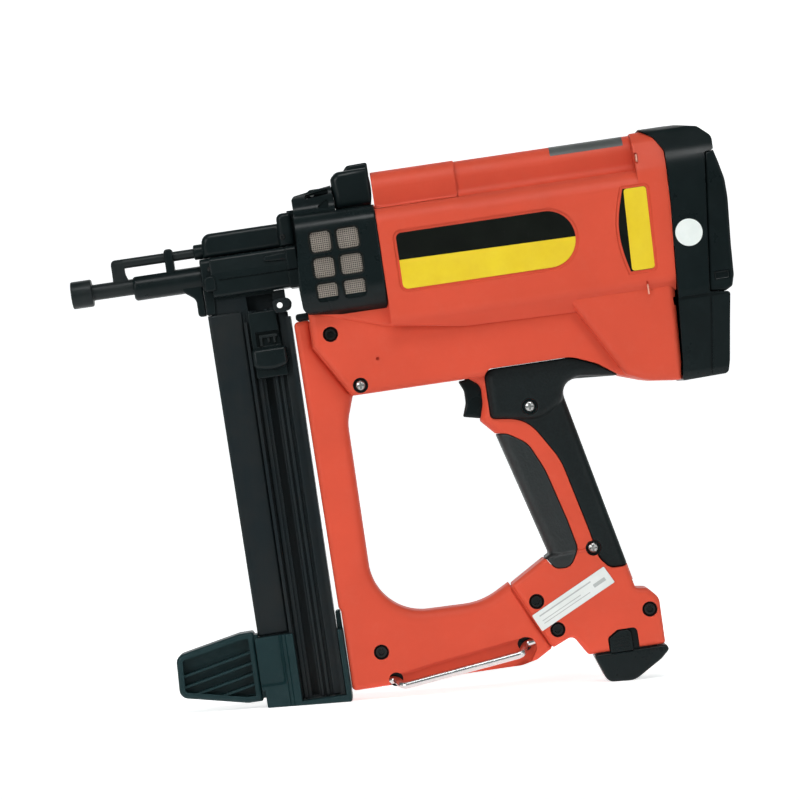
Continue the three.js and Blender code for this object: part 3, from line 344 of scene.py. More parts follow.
def largest(mesh):
    """Keeps the biggest connected part of a mesh."""
    bm = bmesh.new()
    bm.from_mesh(mesh)
    left = set(bm.verts)
    parts = []
    while left:
        found, front = set(), [left.pop()]
        while front:
            v = front.pop()
            found.add(v)
            for e in v.link_edges:
                o = e.other_vert(v)
                if o in left:
                    left.discard(o)
                    front.append(o)
        parts.append(found)
    keep = max(parts, key=len)
    bmesh.ops.delete(bm, geom=[v for v in bm.verts if v not in keep], context="VERTS")
    bm.to_mesh(mesh)
    bm.free()
    return mesh


def across(s, near, far):
    """Two distances from the middle plane as a low and a high Y on side s."""
    return sorted((s * near, s * far))


def half_space(s, y):
    """Everything on side s beyond the distance y."""
    return box(-60, 520, *across(s, y, 90), -345, 130)


def half(s, made):
    """The part of a solid on side s, short of the middle plane by half the gap between the shells."""
    return both(made, half_space(s, GAP / 2))


def softened(mesh, grain, rounds):
    """Rounds every edge of a mesh by rebuilding its skin in small squares and smoothing them."""
    made = bpy.data.objects.new("soft", mesh)
    scratch.objects.link(made)
    step = made.modifiers.new("skin", "REMESH")
    step.mode = "VOXEL"
    step.voxel_size = grain
    step = made.modifiers.new("smooth", "SMOOTH")
    step.factor = 0.5
    step.iterations = rounds
    graph = bpy.context.evaluated_depsgraph_get()
    result = bpy.data.meshes.new_from_object(made.evaluated_get(graph))
    bpy.data.objects.remove(made)
    return result


def sunk(shape, s, y0, y1, flare):
    """A cutter that widens by flare on its way out from y0 to y1."""
    levels = [(s * y0, ring(shape)), (s * y1, ring(shape, -flare)), (s * (y1 + 9), ring(shape, -flare))]
    return loft(levels[::s], lambda x, z, y: (x, y, z))


def plate(shape, s, y0, y1, rim=0.0):
    """A slab on one side of the tool, rounded on its outer face only."""
    return slab(shape, *across(s, y0, y1), rim if s < 0 else 0.0, 0.0 if s < 0 else rim)


# ---------------------------------------------------------------- materials
def shader(name):
    material = bpy.data.materials.new(name)
    material.use_nodes = True
    tree = material.node_tree
    return material, tree, tree.nodes["Principled BSDF"]


class Graph:
    """Short ways to add nodes to a material's tree."""

    def __init__(self, tree):
        self.tree = tree
        self.where = self.node("ShaderNodeTexCoord").outputs["Object"]

    def node(self, kind, **values):
        made = self.tree.nodes.new(kind)
        for key, value in values.items():
            setattr(made, key, value)
        return made

    def link(self, a, b):
        self.tree.links.new(a, b)

    def stretched(self, scale):
        mapping = self.node("ShaderNodeMapping")
        mapping.inputs["Rotation"].default_value = (0, STAND_TILT, 0)
        mapping.inputs["Scale"].default_value = scale
        self.link(self.where, mapping.inputs["Vector"])
        return mapping.outputs["Vector"]

    def noise(self, scale, detail=3.0, rough=0.55, where=None):
        made = self.node("ShaderNodeTexNoise")
        made.inputs["Scale"].default_value = scale
        made.inputs["Detail"].default_value = detail
        made.inputs["Roughness"].default_value = rough
        self.link(where or self.where, made.inputs["Vector"])
        return made.outputs["Fac"]

    def cells(self, scale):
        made = self.node("ShaderNodeTexVoronoi")
        made.inputs["Scale"].default_value = scale
        self.link(self.where, made.inputs["Vector"])
        return made.outputs["Distance"]

    def span(self, value, low, high, to_low=0.0, to_high=1.0):
        made = self.node("ShaderNodeMapRange")
        for key, number in (("From Min", low), ("From Max", high), ("To Min", to_low), ("To Max", to_high)):
            made.inputs[key].default_value = number
        self.link(value, made.inputs["Value"])
        return made.outputs["Result"]

    def maths(self, operation, a, b):
        made = self.node("ShaderNodeMath", operation=operation)
        for socket, value in zip(made.inputs, (a, b)):
            if isinstance(value, (int, float)):
                socket.default_value = value
            else:
                self.link(value, socket)
        return made.outputs["Value"]

    def mix(self, share, a, b):
        made = self.node("ShaderNodeMix", data_type="RGBA")
        self.link(share, made.inputs["Factor"])
        for key, value in (("A", a), ("B", b)):
            socket = next(s for s in made.inputs if s.name == key and s.type == "RGBA")
            if isinstance(value, tuple):
                socket.default_value = (*value, 1)
            else:
                self.link(value, socket)
        return next(s for s in made.outputs if s.type == "RGBA")

    def bump(self, height, strength, distance, under=None):
        made = self.node("ShaderNodeBump")
        made.inputs["Strength"].default_value = strength
        made.inputs["Distance"].default_value = distance
        self.link(height, made.inputs["Height"])
        if under:
            self.link(under, made.inputs["Normal"])
        return made.outputs["Normal"]


def moulded(name, colour, roughness, grain=1400, variation=0.1, dust=(0.6, 0.6, 0.58),
            dusting=0.05, specular=0.5):
    """Textured moulded plastic: pebble grain, slow colour drift, faint scuffs and a little dust."""
    material, tree, surface = shader(name)
    g = Graph(tree)
    darker = tuple(c * (1 - variation) for c in colour)
    lighter = tuple(min(1, c * (1 + variation)) for c in colour)
    drift = g.span(g.noise(14, 4, 0.6), 0.3, 0.7)
    tone = g.mix(drift, darker, lighter)
    specks = g.span(g.noise(650, 2, 0.5), 0.35, 0.75)
    tone = g.mix(g.maths("MULTIPLY", specks, 0.1), tone, darker)
    streaks = g.noise(60, 5, 0.7, g.stretched((1, 1, 6)))
    scuffs = g.span(streaks, 0.62, 0.74)
    patches = g.span(g.noise(22, 2, 0.5), 0.52, 0.66)
    pale_tone = g.maths("MULTIPLY", g.maths("MULTIPLY", scuffs, patches), SCUFF)
    tone = g.mix(pale_tone, tone, lighter)
    dusty = g.maths("MULTIPLY", g.span(g.noise(90, 6, 0.75), 0.5, 0.8), dusting)
    tone = g.mix(dusty, tone, dust)
    g.link(tone, surface.inputs["Base Color"])
    sheen = g.span(g.noise(40, 4, 0.6), 0.3, 0.7, roughness - 0.05, roughness + 0.06)
    g.link(g.maths("ADD", sheen, g.maths("MULTIPLY", pale_tone, 0.5)), surface.inputs["Roughness"])
    pebble = g.noise(grain, 2, 0.5)
    wave = g.noise(30, 2, 0.5)
    first = g.bump(wave, 0.25, 0.0006)
    g.link(g.bump(pebble, 0.5, PEBBLE, first), surface.inputs["Normal"])
    surface.inputs["Specular IOR Level"].default_value = specular
    return material


def metal(name, colour, roughness, metallic=1.0, brushed=(1, 1, 1), scratch=0.3, stain=(0.25, 0.24, 0.22),
          staining=0.15, specular=0.5):
    """Metal with directional scratches, stains and uneven polish."""
    material, tree, surface = shader(name)
    g = Graph(tree)
    lines = g.noise(520, 4, 0.65, g.stretched(brushed))
    blotch = g.span(g.noise(35, 5, 0.65), 0.42, 0.72)
    darker = tuple(c * 0.8 for c in colour)
    tone = g.mix(g.maths("MULTIPLY", g.span(lines, 0.4, 0.7), scratch), colour, darker)
    tone = g.mix(g.maths("MULTIPLY", blotch, staining), tone, stain)
    g.link(tone, surface.inputs["Base Color"])
    rough = g.span(lines, 0.3, 0.7, roughness - 0.06, roughness + 0.1)
    g.link(g.maths("ADD", rough, g.maths("MULTIPLY", blotch, 0.08)), surface.inputs["Roughness"])
    g.link(g.bump(lines, 0.4, SCRATCH), surface.inputs["Normal"])
    surface.inputs["Metallic"].default_value = metallic
    surface.inputs["Specular IOR Level"].default_value = specular
    return material


def rubber(name, colour, specular, crease):
    """Soft-touch grip: a fine leather-like grain, polished where the hand rubs; the lighter colour of the
    rubbed patches and the grain tips is painted highlight.
    """
    material, tree, surface = shader(name)
    g = Graph(tree)
    grain = g.cells(620)
    folds = g.noise(260, 3, 0.6)
    rubbed = g.span(g.noise(18, 3, 0.6), 0.45, 0.7)
    # Rubbed patches: their lower roughness is real polish, their lighter colour is painted highlight.
    tone = g.mix(rubbed, colour, tuple(c * 1.6 for c in colour))
    # Painted highlight: the raised tips of the grain are drawn lighter.
    tone = g.mix(g.maths("MULTIPLY", g.span(grain, 0.3, 0.9), 0.3), tone, tuple(c * 2.6 for c in colour))
    g.link(tone, surface.inputs["Base Color"])
    g.link(g.span(rubbed, 0, 1, 0.5, 0.4), surface.inputs["Roughness"])
    g.link(g.bump(folds, 0.5, crease, g.bump(grain, 0.7, 0.00014)), surface.inputs["Normal"])
    surface.inputs["Specular IOR Level"].default_value = specular
    return material


def vinyl(name, colour, roughness, tint=None, specular=0.5):
    """A printed label under a thin clear film, with a slight wrinkle and rubbed spots."""
    material, tree, surface = shader(name)
    g = Graph(tree)
    tint = tint or tuple(c * 0.88 for c in colour)
    tone = g.mix(g.span(g.noise(28, 4, 0.65), 0.35, 0.7), colour, tint)
    rubbed = g.maths("MULTIPLY", g.span(g.noise(220, 5, 0.75), 0.6, 0.8), 0.16)
    tone = g.mix(rubbed, tone, tuple(min(1, c * 1.3 + 0.05) for c in colour))
    g.link(tone, surface.inputs["Base Color"])
    g.link(g.span(g.noise(120, 4, 0.6), 0.3, 0.7, roughness - 0.05, roughness + 0.1),
           surface.inputs["Roughness"])
    g.link(g.bump(g.noise(70, 3, 0.5), 0.2, 0.0003), surface.inputs["Normal"])
    surface.inputs["Specular IOR Level"].default_value = specular
    surface.inputs["Coat Weight"].default_value = 0.3 * specular
    surface.inputs["Coat Roughness"].default_value = 0.25
    return material


def foam(name, colour):
    """Open-cell filter foam, its pores drawn darker as painted shade."""
    material, tree, surface = shader(name)
    g = Graph(tree)
    holes = g.cells(620)
    # Painted shade: the pits of the pores are drawn darker.
    tone = g.mix(g.span(holes, 0.1, 0.7), tuple(c * 0.3 for c in colour), colour)
    g.link(tone, surface.inputs["Base Color"])
    g.link(g.span(holes, 0, 1, 0.85, 0.98), surface.inputs["Roughness"])
    g.link(g.bump(holes, 1.0, 0.0008), surface.inputs["Normal"])
    return material


LOOKS = {
    "orange": moulded("orange_plastic", (0.62, 0.075, 0.038), 0.46, variation=0.07, dusting=0.03,
                      dust=(0.75, 0.4, 0.3), specular=0.18),
    "black": moulded("black_plastic", (0.0044, 0.0084, 0.009), 0.3, grain=1700, variation=0.18,
                     dust=(0.06, 0.09, 0.095), dusting=0.05, specular=0.17),
    # Painted highlight: the foot plastic is the black plastic drawn lighter and more teal.
    "foot": moulded("foot_plastic", (0.006, 0.025, 0.028), 0.42, grain=1500, variation=0.2,
                    dust=(0.08, 0.13, 0.14), dusting=0.1, specular=0.2),
    "soft": rubber("soft_grip", (0.0035, 0.0062, 0.0066), 0.2, 0.0003),
    "finger": rubber("finger_grip", (0.0035, 0.0062, 0.0066), 0.5, 0.0009),
    "dark_metal": metal("dark_metal", (0.009, 0.0145, 0.017), 0.36, 0.15, (1, 1, 0.03), 0.4,
                        (0.022, 0.02, 0.017), 0.4, specular=0.2),
    "probe_metal": metal("probe_metal", (0.008, 0.013, 0.0135), 0.34, 0.2, (0.05, 1, 1), 0.4,
                         (0.03, 0.03, 0.03), 0.3, specular=0.25),
    "steel": metal("steel", (0.5, 0.5, 0.49), 0.32, 1.0, (0.04, 1, 1)),
    "chrome": metal("chrome", (0.62, 0.62, 0.62), 0.16, 1.0, (0.05, 1, 1), 0.12, (0.5, 0.48, 0.45), 0.1),
    "alloy": metal("alloy", (0.6, 0.61, 0.62), 0.38, 1.0, (0.3, 1, 1)),
    "bronze": metal("bronze", (0.42, 0.3, 0.16), 0.4, 1.0, (1, 1, 1)),
    "yellow": vinyl("yellow_trim", (0.8, 0.6, 0.018), 0.34, (0.72, 0.5, 0.012)),
    "ink": vinyl("label_dark", (0.003, 0.004, 0.003), 0.4, (0.005, 0.007, 0.005), specular=0.1),
    "bolt": metal("black_bolt", (0.012, 0.014, 0.014), 0.28, 0.6, (1, 1, 1), 0.3, (0.05, 0.05, 0.05), 0.4),
    # Paler pinkish orange for the hooks in the snap slots.
    "pale_tone": vinyl("pale_hook_plastic", (0.7, 0.3, 0.21), 0.5, (0.74, 0.45, 0.36)),
    "paper": vinyl("label_white", (0.74, 0.77, 0.75), 0.45, (0.62, 0.66, 0.64)),
    "rule": vinyl("label_rule", (0.42, 0.45, 0.44), 0.5),
    "grille": metal("grille", (0.42, 0.37, 0.32), 0.5, 0.4, (1, 1, 1), 0.3, (0.42, 0.38, 0.34), 0.3),
    # Painted shade: the dark sheet behind the vent mesh.
    "painted_vent_shade": metal("painted_vent_shade", (0.08, 0.07, 0.06), 0.6, 0.4, (1, 1, 1), 0.3, (0.1, 0.09, 0.08), 0.2),
    "film": vinyl("label_grey", (0.055, 0.06, 0.058), 0.4, (0.09, 0.1, 0.096)),
    "foil": vinyl("label_foil", (0.86, 0.9, 0.87), 0.42, (0.72, 0.77, 0.74)),
    "foam": foam("filter_foam", (0.05, 0.052, 0.052)),
    "ceramic": vinyl("ceramic", (0.8, 0.79, 0.75), 0.3),
    "circuit": moulded("circuit", (0.02, 0.11, 0.05), 0.5, variation=0.2),
}


def show(name, mesh, look, body="tool", nodes=(), angle=34):
    """Places a piece in the row frame, smooths it up to an angle and lets it ride on its body."""
    mesh.transform(FRAME)
    mesh.name = name
    for face in mesh.polygons:
        face.use_smooth = True
    mesh.set_sharp_from_angle(angle=math.radians(angle))
    mesh.materials.clear()
    mesh.materials.append(LOOKS[look])
    for face in mesh.polygons:
        face.material_index = 0
    piece = bpy.data.objects.new(name, mesh)
    bpy.context.scene.collection.objects.link(piece)
    even = piece.modifiers.new("even", "WEIGHTED_NORMAL")
    even.mode = "FACE_AREA"
    even.keep_sharp = True
    even.weight = 60
    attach(piece, body)
    if nodes:
        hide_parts(*nodes)
    return piece


# ---------------------------------------------------------------- contact probe, guide and nose
slot = BORE + 0.3
probe = cut(
    join(
        turned([(0, 0), (7.9, 0), (8.6, 0.25), (9, 0.9), (9, 12.9), (8.7, 13.6), (8.1, 14), (5.6, 14.2),
                (5.2, 14.8), (5.2, 64), (0, 64)]),
        slab(outline([(28.2, 3.5, 0), (38.8, 3.5, 0), (36.8, 9, 4), (36.8, 18.9, 1), (28.2, 18.9, 3)]), -3, 3,
             0.9),
        turned([(0, 30), (ROD_R - 0.4, 30), (ROD_R, 30.4), (ROD_R, 93), (4.8, 93), (4.8, 95), (ROD_R, 95),
                (ROD_R, 153), (0, 153)], ROD_Z),
    ),
    rod(3.6, -1, 65),
    turned([(0, -1), (5.2, -1), (3.4, 1.2), (0, 1.2)]),
)
show("probe_tip", probe, "probe_metal", "probe", ["contact_probe"])

foot_side = outline([(72, -8, 3), (80.4, -14.5, 5), (80.4, -26, 2), (85.6, -26, 1), (85.6, -4, 0),
                     (72, -4, 0)])
guide = cut(
    join(
        turned([(0, 41), (7, 41), (7.9, 41.7), (8.3, 42.8), (8.3, 85.7), (0, 85.7)], -1.2),
        slab(foot_side, -6.5, 6.5, 1.4),
        slab(outline([(63.6, 5, 0), (69.4, 5, 0), (69.4, 21, 2), (63.6, 21, 2)]), -5.6, 5.6, 1.3),
    ),
    rod(5.7, 40, 87),
    rod(3.5, 60, 72, ROD_Z),
    box(40, 63.6, -3.5, 3.5, 2, 12),
)
show("probe_guide", guide, "black", nodes=["fastener_guide"])

block_section = outline([(-13, -15.4, 2.5), (13, -15.4, 2.5), (14, 0, 4), (12, 10.9, 3), (-12, 10.9, 3),
                         (-14, 0, 4)])
block = cut(
    join(
        bar(block_section, 92.3, 149.7, 0.8),
        bar(outline([(-11.5, -9.6, 3), (11.5, -9.6, 3), (11.5, 10.9, 4), (-11.5, 10.9, 4)]), 86, 93, 1),
        bar(outline([(-16, -16.2, 2), (16, -16.2, 2), (16, 10.9, 3), (-16, 10.9, 3)]), 142.5, 149.7, 0.8),
        slab(outline([(87.3, -10.8, 2), (95, -10.8, 2), (95, -1, 3), (87.3, -1, 3)]), -15, 15, 1.2),
        slab(outline([(86, -26, 1), (92, -26, 1), (92.7, -12, 0), (92.7, -8, 0), (86, -8, 0)]), -7.9, 7.9, 1),
        *(slab(outline([(128, 3.4, 2.4), (150, 2.2, 0), (150, 8.2, 0), (128, 6.6, 2.4)]),
               *across(s, 12, 14.9), 0.9) for s, _ in SIDES),
        *(box(93, 131, *across(s, 6, 6.9), -17, -15) for s, _ in SIDES),
    ),
    box(88.6, 93, -6, 6, -27, -15.7),
    rod(5.8, 85, 90.5),
    rod(BORE + 0.6, 89, 151),
    box(90.2, 134.5, -slot, slot, -17, 0),
    rod(5.7, 91, 151, ROD_Z),
    *(slab(outline([(97, -5, 0.3), (151, -5, 0.3), (151, -3.9, 0.3), (97, -3.9, 0.3)]), *across(s, 13, 20))
      for s, _ in SIDES),
)
show("nose_body", block, "black", nodes=["nose_block"])
for s, side in SIDES:
    head = cross(1.7, 92.4, 3.8, *across(s, 11, 13.2), 32, 0.8)
    show("nose_pin_" + side, head, "bolt")

cover = cut(
    join(
        slab(outline([(89, 11.3, 0), (141, 11.3, 0), (141, 27, 0), (89, 27, 6)]), -9, 9, 3.8),
        slab(outline([(139.6, 11.3, 0), (149.7, 11.3, 0), (149.7, 33, 2), (139.6, 33, 4)]), -13, 13, 3.2),
        rod(5, 83, 90, 16.3, rim=0.6),
    ),
    rod(ROD_R + 0.35, 82, 151, ROD_Z),
    rod(5.7, 92.6, 137.6, ROD_Z),
)
show("nose_hood", cover, "black", nodes=["nose_cover"])
for s, side in SIDES:
    head = cut(cross(1.9, 142.2, 17.5, *across(s, 10, 13.5), 32, 0.5),
               cross(0.9, 142.2, 17.5, *across(s, 12.6, 14.4), 6))
    show("hood_screw_" + side, head, "bolt")

# ---------------------------------------------------------------- springs
spring = show("probe_spring", coil(Vector((95.9, 0, ROD_Z)), Vector((136.6, 0, ROD_Z)), 4.4, 8, 0.5), "steel",
              nodes=["return_spring"])
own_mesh(spring)
spring = show("magazine_spring", coil(Vector((104, 0, -69)), Vector((104, 0, -281.6)), 2.6, 20, 0.45),
              "steel", nodes=["follower_spring"])
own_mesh(spring)
spring = show("switch_spring", coil(Vector((257.9, 0, -101)), Vector((270.4, 0, -101)), 2.6, 4, 0.4), "steel",
              nodes=["trigger_spring"])
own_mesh(spring)


# ---------------------------------------------------------------- vented shroud and gas door
def shroud_section(grow):
    return outline([(-41, -40.2, 21), (41, -40.2, 21), (41, 27, 13), (HUMP_HALF, 30, 8),
                    (HUMP_HALF, 46.4, 12), (-HUMP_HALF, 46.4, 12), (-HUMP_HALF, 30, 8), (-41, 27, 13)], grow)


def shroud_side(grow):
    return outline([(149.3, -34.8, 5), (168, -37.2, 20), (190, -40, 20), (SHROUD_X1, -40, 7),
                    (SHROUD_X1, 46.4, 1), (179, 46.4, 4), (153, 42.2, 3), (151.4, 40, 2), (151.8, 15, 20),
                    (SHROUD_X0 - 1.5, -18, 10)], grow)


def shroud_block(grow):
    return both(bar(shroud_section(grow), SHROUD_X0 - 1.6 - grow, SHROUD_X1 + grow, 0 if grow else 2,
                    0 if grow else 1.2),
                slab(shroud_side(grow), -45, 45))


def shroud_lip(grow):
    return slab(outline([(143, -38.1, 1.5), (158, -38.1, 0), (158, -33.6, 0), (143, -33.6, 1.8)], grow),
                -15 - grow, 15 + grow, 0 if grow else 1.2)


windows = [(x0, x1, z0, z1) for x0, x1 in ((160.2, 172.8), (177.6, 191))
           for z0, z1 in ((3.5, 16), (-13.2, -1), (-29, -17.6))]


def window(w, grow=0.0):
    x0, x1, z0, z1 = w
    return outline([(x0, z0, 2.2), (x1, z0, 2.2), (x1, z1, 2.2), (x0, z1, 2.2)], grow)


def window_cut(w, s):
    """A window whose walls draw in towards the mesh."""
    levels = [(37, ring(window(w))), (38, ring(window(w))), (39.4, ring(window(w, 0.7))),
              (41.1, ring(window(w, 1.7))), (46, ring(window(w, 3.4)))]
    levels = [(s * y, points) for y, points in levels]
    return loft(levels[::s], lambda x, z, y: (x, y, z))


px, pz = DOOR_PIVOT
hump_slot = outline([(160.4, 39.2, 0.8), (175.8, 40.6, 0.8), (175.8, 44.2, 1), (160.4, 42, 0.8)])
hump_nook = outline([(164.6, 32, 1.2), (175, 32, 1.2), (175, 38, 1.2)])
shroud = cut(
    join(shroud_block(0), shroud_lip(0)),
    both(bar(shroud_section(-2.6), 153, 210), slab(outline([(153, -32.6, 2), (194, -37.8, 4), (210, -37.8, 0),
                                                            (210, 43.8, 0), (179, 43.8, 2), (153, 39.6, 2)]),
                                                   -45, 45)),
    *(window_cut(w, s) for w in windows for s, _ in SIDES),
    slab(outline([(178.6, 29.3, 0), (210, 29.3, 0), (210, 60, 0), (177.8, 60, 0), (177.8, 44, 0),
                  (178.6, 38, 0)]),
         -45, 45),
    box(158.6, 180, -8.3, 8.3, 35.5, 60),
    *(plate(hump_slot, s, 14.6, 30) for s, _ in SIDES),
    *(plate(hump_nook, s, HUMP_HALF - 0.9, 30) for s, _ in SIDES),
    rod(8.6, 149, 154),
    rod(ROD_R + 0.4, 149, 154, ROD_Z),
    cross(1.52, px, pz, -14, 14),
)
show("shroud", shroud, "black", nodes=["front_shroud"])


def shade_sheet_behind_vents(s, drop):
    """A dark curved sheet behind the vents, from the shroud's own section: painted shade for the dark inside
    seen through the mesh.
    """
    return both(
        cut(bar(shroud_section(-drop), 156.5, 194.5), bar(shroud_section(-drop - 0.5), 150, 200)),
        box(150, 200, *across(s, 20, 50), -32, 19.5),
    )


def section_at(z, drop):
    """Half width and outward slope of the shroud's side at height z."""
    low, r = -40.2 + drop, 21 - drop
    a = math.asin(max(-1.0, (z - low - r) / r)) if z < low + r else 0.0
    return 41 - drop - r + r * math.cos(a), a


def woven(s):
    """Crossing wires, each passing over and under the others."""
    pitch, thick, drop = 1.3, 0.26, 3.1
    points, faces = [], []

    def wire(path):
        made = tube(path, thick, 5)
        base = len(points)
        points.extend(v.co.copy() for v in made.vertices)
        faces.extend(tuple(base + i for i in f.vertices) for f in made.polygons)
        bpy.data.meshes.remove(made)

    for x0, x1, z0, z1 in windows:
        columns = [x0 - 0.6 + pitch * i for i in range(int((x1 - x0 + 1.2) / pitch) + 1)]
        rows = [z0 - 0.6 + pitch * i for i in range(int((z1 - z0 + 1.2) / pitch) + 1)]
        for i, x in enumerate(columns):
            path = []
            for k in range(2 * len(rows)):
                z = rows[0] + pitch * k / 2
                wide, a = section_at(z, drop)
                lift = 0.24 * math.cos(math.pi * (k / 2 + i))
                path.append(Vector((x, s * (wide + lift * math.cos(a)), z + lift * math.sin(a))))
            wire(path)
        for i, z in enumerate(rows):
            wide, a = section_at(z, drop)
            path = []
            for k in range(2 * len(columns)):
                lift = -0.24 * math.cos(math.pi * (k / 2 + i))
                path.append(Vector((columns[0] + pitch * k / 2, s * (wide + lift * math.cos(a)),
                                    z + lift * math.sin(a))))
            wire(path)
    return mesh_of(points, faces)


for s, side in SIDES:
    show("vent_wire_" + side, woven(s), "grille", nodes=["vent_mesh_" + side], angle=60)
    # The dark sheet behind each mesh is painted shade.
    show("vent_shade_sheet_" + side, shade_sheet_behind_vents(s, 3.9), "painted_vent_shade")

door = cut(
    join(
        both(
            slab(outline([(178.9, 29.9, 1), (SHROUD_X1, 29.9, 1), (SHROUD_X1, 54.2, 2), (182, 54, 6),
                          (178.2, 50, 3), (178.2, 44, 0), (178.9, 38, 0)]), -HUMP_HALF, HUMP_HALF, 4.5),
            cross(38.8, px, pz, -30, 30, 160),
        ),
        slab(outline([(187.6, 50, 0), (203.4, 50, 0), (203.4, 58, 1.5), (190, 57.6, 3), (187.6, 55, 1)]), -9,
             9, 1.8),
        slab(outline([(px - 3.6, pz - 3.6, 3.5), (182, pz - 3.6, 0), (182, pz + 3.4, 0),
                      (px - 3.6, pz + 3.6, 3.5)]),
             -7.6, 7.6, 0.9),
    ),
    slab(outline([(184, 26, 0), (206, 26, 0), (206, 47, 0), (187, 47, 5), (184, 44, 2)]), -14, 14),
    cross(1.6, px, pz, -10, 10),
    *(box(190, 202, -8 + 3.2 * i, -6.6 + 3.2 * i, 57.1, 60) for i in range(6)),
)
show("door", door, "black", "door", ["gas_door"])

# ---------------------------------------------------------------- housing
TUBE_SEAM_X = 259


def upper_section(grow, slimmer=0.0):
    wide, top = 16.5 + 1.5 * (slimmer == 0) - slimmer, 51 - slimmer * 0.6
    return outline([(-26, -62, 4), (26, -62, 4), (BODY_HALF, -47, 10), (BODY_HALF, 26, 15),
                    (wide, 26, 3 + slimmer * 3), (wide, top, 15.5), (-wide, top, 15.5),
                    (-wide, 26, 3 + slimmer * 3), (-BODY_HALF, 26, 15), (-BODY_HALF, -47, 10)], grow)


seam = [(384.3, -112.3, 2), (386, -100, 30), (390, -42, 60), (393, 0, 60), (394, 36, 6), (388, 46, 5),
        (380, 51.5, 0)]
upper_side = outline([(SEAM_X, -50.3, 0), (212, -51, 20), (250, -57.4, 60), (388.6, -60.4, 0), *seam[2:],
                      (SEAM_X, 51.5, 0)])
lower_side = outline([(151.6, -30, 0), (151.6, -56.8, 2), (172.4, -91.4, 2), (300, -91.4, 0),
                      (345, -103.5, 20), (362, -109.3, 30), *seam[:2], (389.4, -46, 0), (215, -46, 0),
                      (SEAM_X, -30, 0)])
rear_side = outline([(316, -46, 0), (322.5, -57, 0), (349, -103.6, 5), (360, -108.4, 8), (366, -110, 10),
                     *seam[:2], (389, -46, 0)])
GRIP = [(240, -70, 0), (248.6, -91.5, 0), (255.8, -97, 7), (255.2, -109, 10), (252, -119.8, 2),
        (260.8, -129.5, 4), (283.7, -212, 3), (288, -236, 0), (335.4, -236, 0), (305.8, -100.6, 9),
        (345, -103.4, 0), (345, -70, 0)]
SHOULDER = [(259.4, -70, 0), (259.4, -119.2, 3), (292, -125, 20), (306.6, -114.5, 7), (309.2, -103.8, 8),
            (319, -100, 9), (345, -103.4, 0), (345, -70, 0)]
BASE = [(256.2, -228.1, 1.5), (265.4, -248, 30), (277.4, -272.4, 1.5), (291, -266.6, 4),
        (299.4, -280.2, 3), (350, -280.2, 2), (350.2, -250, 8), (343.6, -242.8, 6), (336, -241.8, 3),
        (328.6, -210, 3), (283.4, -212, 2)]
FRAME_SIDE = [(141.2, -38.6, 3), (143, -226, 1), (144.3, -229, 1), (144.2, -281.4, 3), (256, -281, 12),
              (266, -278.8, 8), (276.9, -272.6, 1.5), (265, -248, 30), (255.8, -228.3, 1.5),
              (172, -91.8, 1.5), (151.2, -57, 2), (151.2, -38.6, 1)]
HAND_OPENING = [(166.5, -235.8, 50), (236, -237, 45), (268, -219.7, 0), (268, -80, 0), (176, -80, 0),
                (172, -91.8, 1.5), (166.5, -108, 30)]
PALM = [(258.9, -87.2, 6), (258.9, -119.4, 3), (282, -122.6, 28), (300, -152, 45), (311.5, -200, 60),
        (315.4, -219, 9), (321.5, -226.4, 7), (331, -226.4, 6), (337, -222, 0), (346.5, -104.4, 0),
        (332, -94, 14), (316, -87.2, 22)]
FINGERS = [(252, -128.6, 0), (274, -212, 0), (281.6, -214.6, 4), (286, -221.6, 7), (296, -222.4, 9),
           (302.8, -211, 9), (298.6, -192, 40), (289, -157, 50), (280.5, -138.5, 18), (268, -130.3, 12)]
HOUSING_SCREWS = {
    "upper_front": (164, -50), "pistol_top": (285, -115), "pistol_low": (312.5, -212),
    "lower_front": (178.5, -85.5), "base_front": (271, -241), "base_bottom": (282, -261),
    "base_rear": (343, -256.5),
}
FRAME_SCREWS = {"bridge": (166.5, -259)}
HEAD_Y = {"upper_front": 26, "pistol_top": 20.5, "pistol_low": 16.5, "lower_front": 26, "base_front": 18.3,
          "base_bottom": 18.3, "base_rear": 18.3, "bridge": 15.3}


def grip_solid(drop):
    return slab(outline(GRIP, -drop), -GRIP_HALF + drop, GRIP_HALF - drop, 6.5 - drop * 0.8)


def shoulder_solid(drop):
    return slab(outline(SHOULDER, -drop), -21.5 + drop, 21.5 - drop, 5 - drop * 0.8)


def handle_core(more):
    return join(grip_solid(SKIN + more), shoulder_solid(SKIN + more))


def palm_zone(grow):
    return slab(outline(PALM, grow), -40, 28)


def finger_zone(grow):
    return slab(outline(FINGERS, grow), -40, 28)


def base_solid():
    return slab(outline(BASE), -BASE_HALF, BASE_HALF, 4)


def cap_section(grow):
    return outline([(-37, -114.5, 8), (37, -114.5, 8), (42.5, -55, 20), (42.5, 30, 26), (25, 52.4, 14),
                    (-25, 52.4, 14), (-42.5, 30, 26), (-42.5, -55, 20)], grow)


bulkhead_section = outline([(BODY_HALF - 0.3, 5, 0), (BODY_HALF - 0.3, 25, 12), (31, 44, 9), (22, 50.6, 10),
                            (-22, 50.6, 10), (-31, 44, 9), (0.3 - BODY_HALF, 25, 12),
                            (0.3 - BODY_HALF, 5, 0)])


def outer_body():
    under_shroud = 0.35
    cheek = slab(outline([(156.5, -36, 1), (200, -50.4, 40), (252, -57.6, 0), (252, -30, 0),
                          (156.5, -20, 0)]),
                 -29.5, 29.5, 3)
    return join(
        both(join(bar(upper_section(0), SEAM_X, TUBE_SEAM_X),
                  bar(upper_section(0, 1.1), TUBE_SEAM_X - 1, 396),
                  bar(bulkhead_section, 374.6, 396)), slab(upper_side, -50, 50)),
        cut(join(slab(lower_side, -LOWER_HALF, LOWER_HALF, 4.5), cheek), shroud_block(under_shroud),
            shroud_lip(under_shroud)),
        slab(rear_side, -36.5, 36.5, 5),
    )


def handle():
    return join(grip_solid(0), shoulder_solid(0))


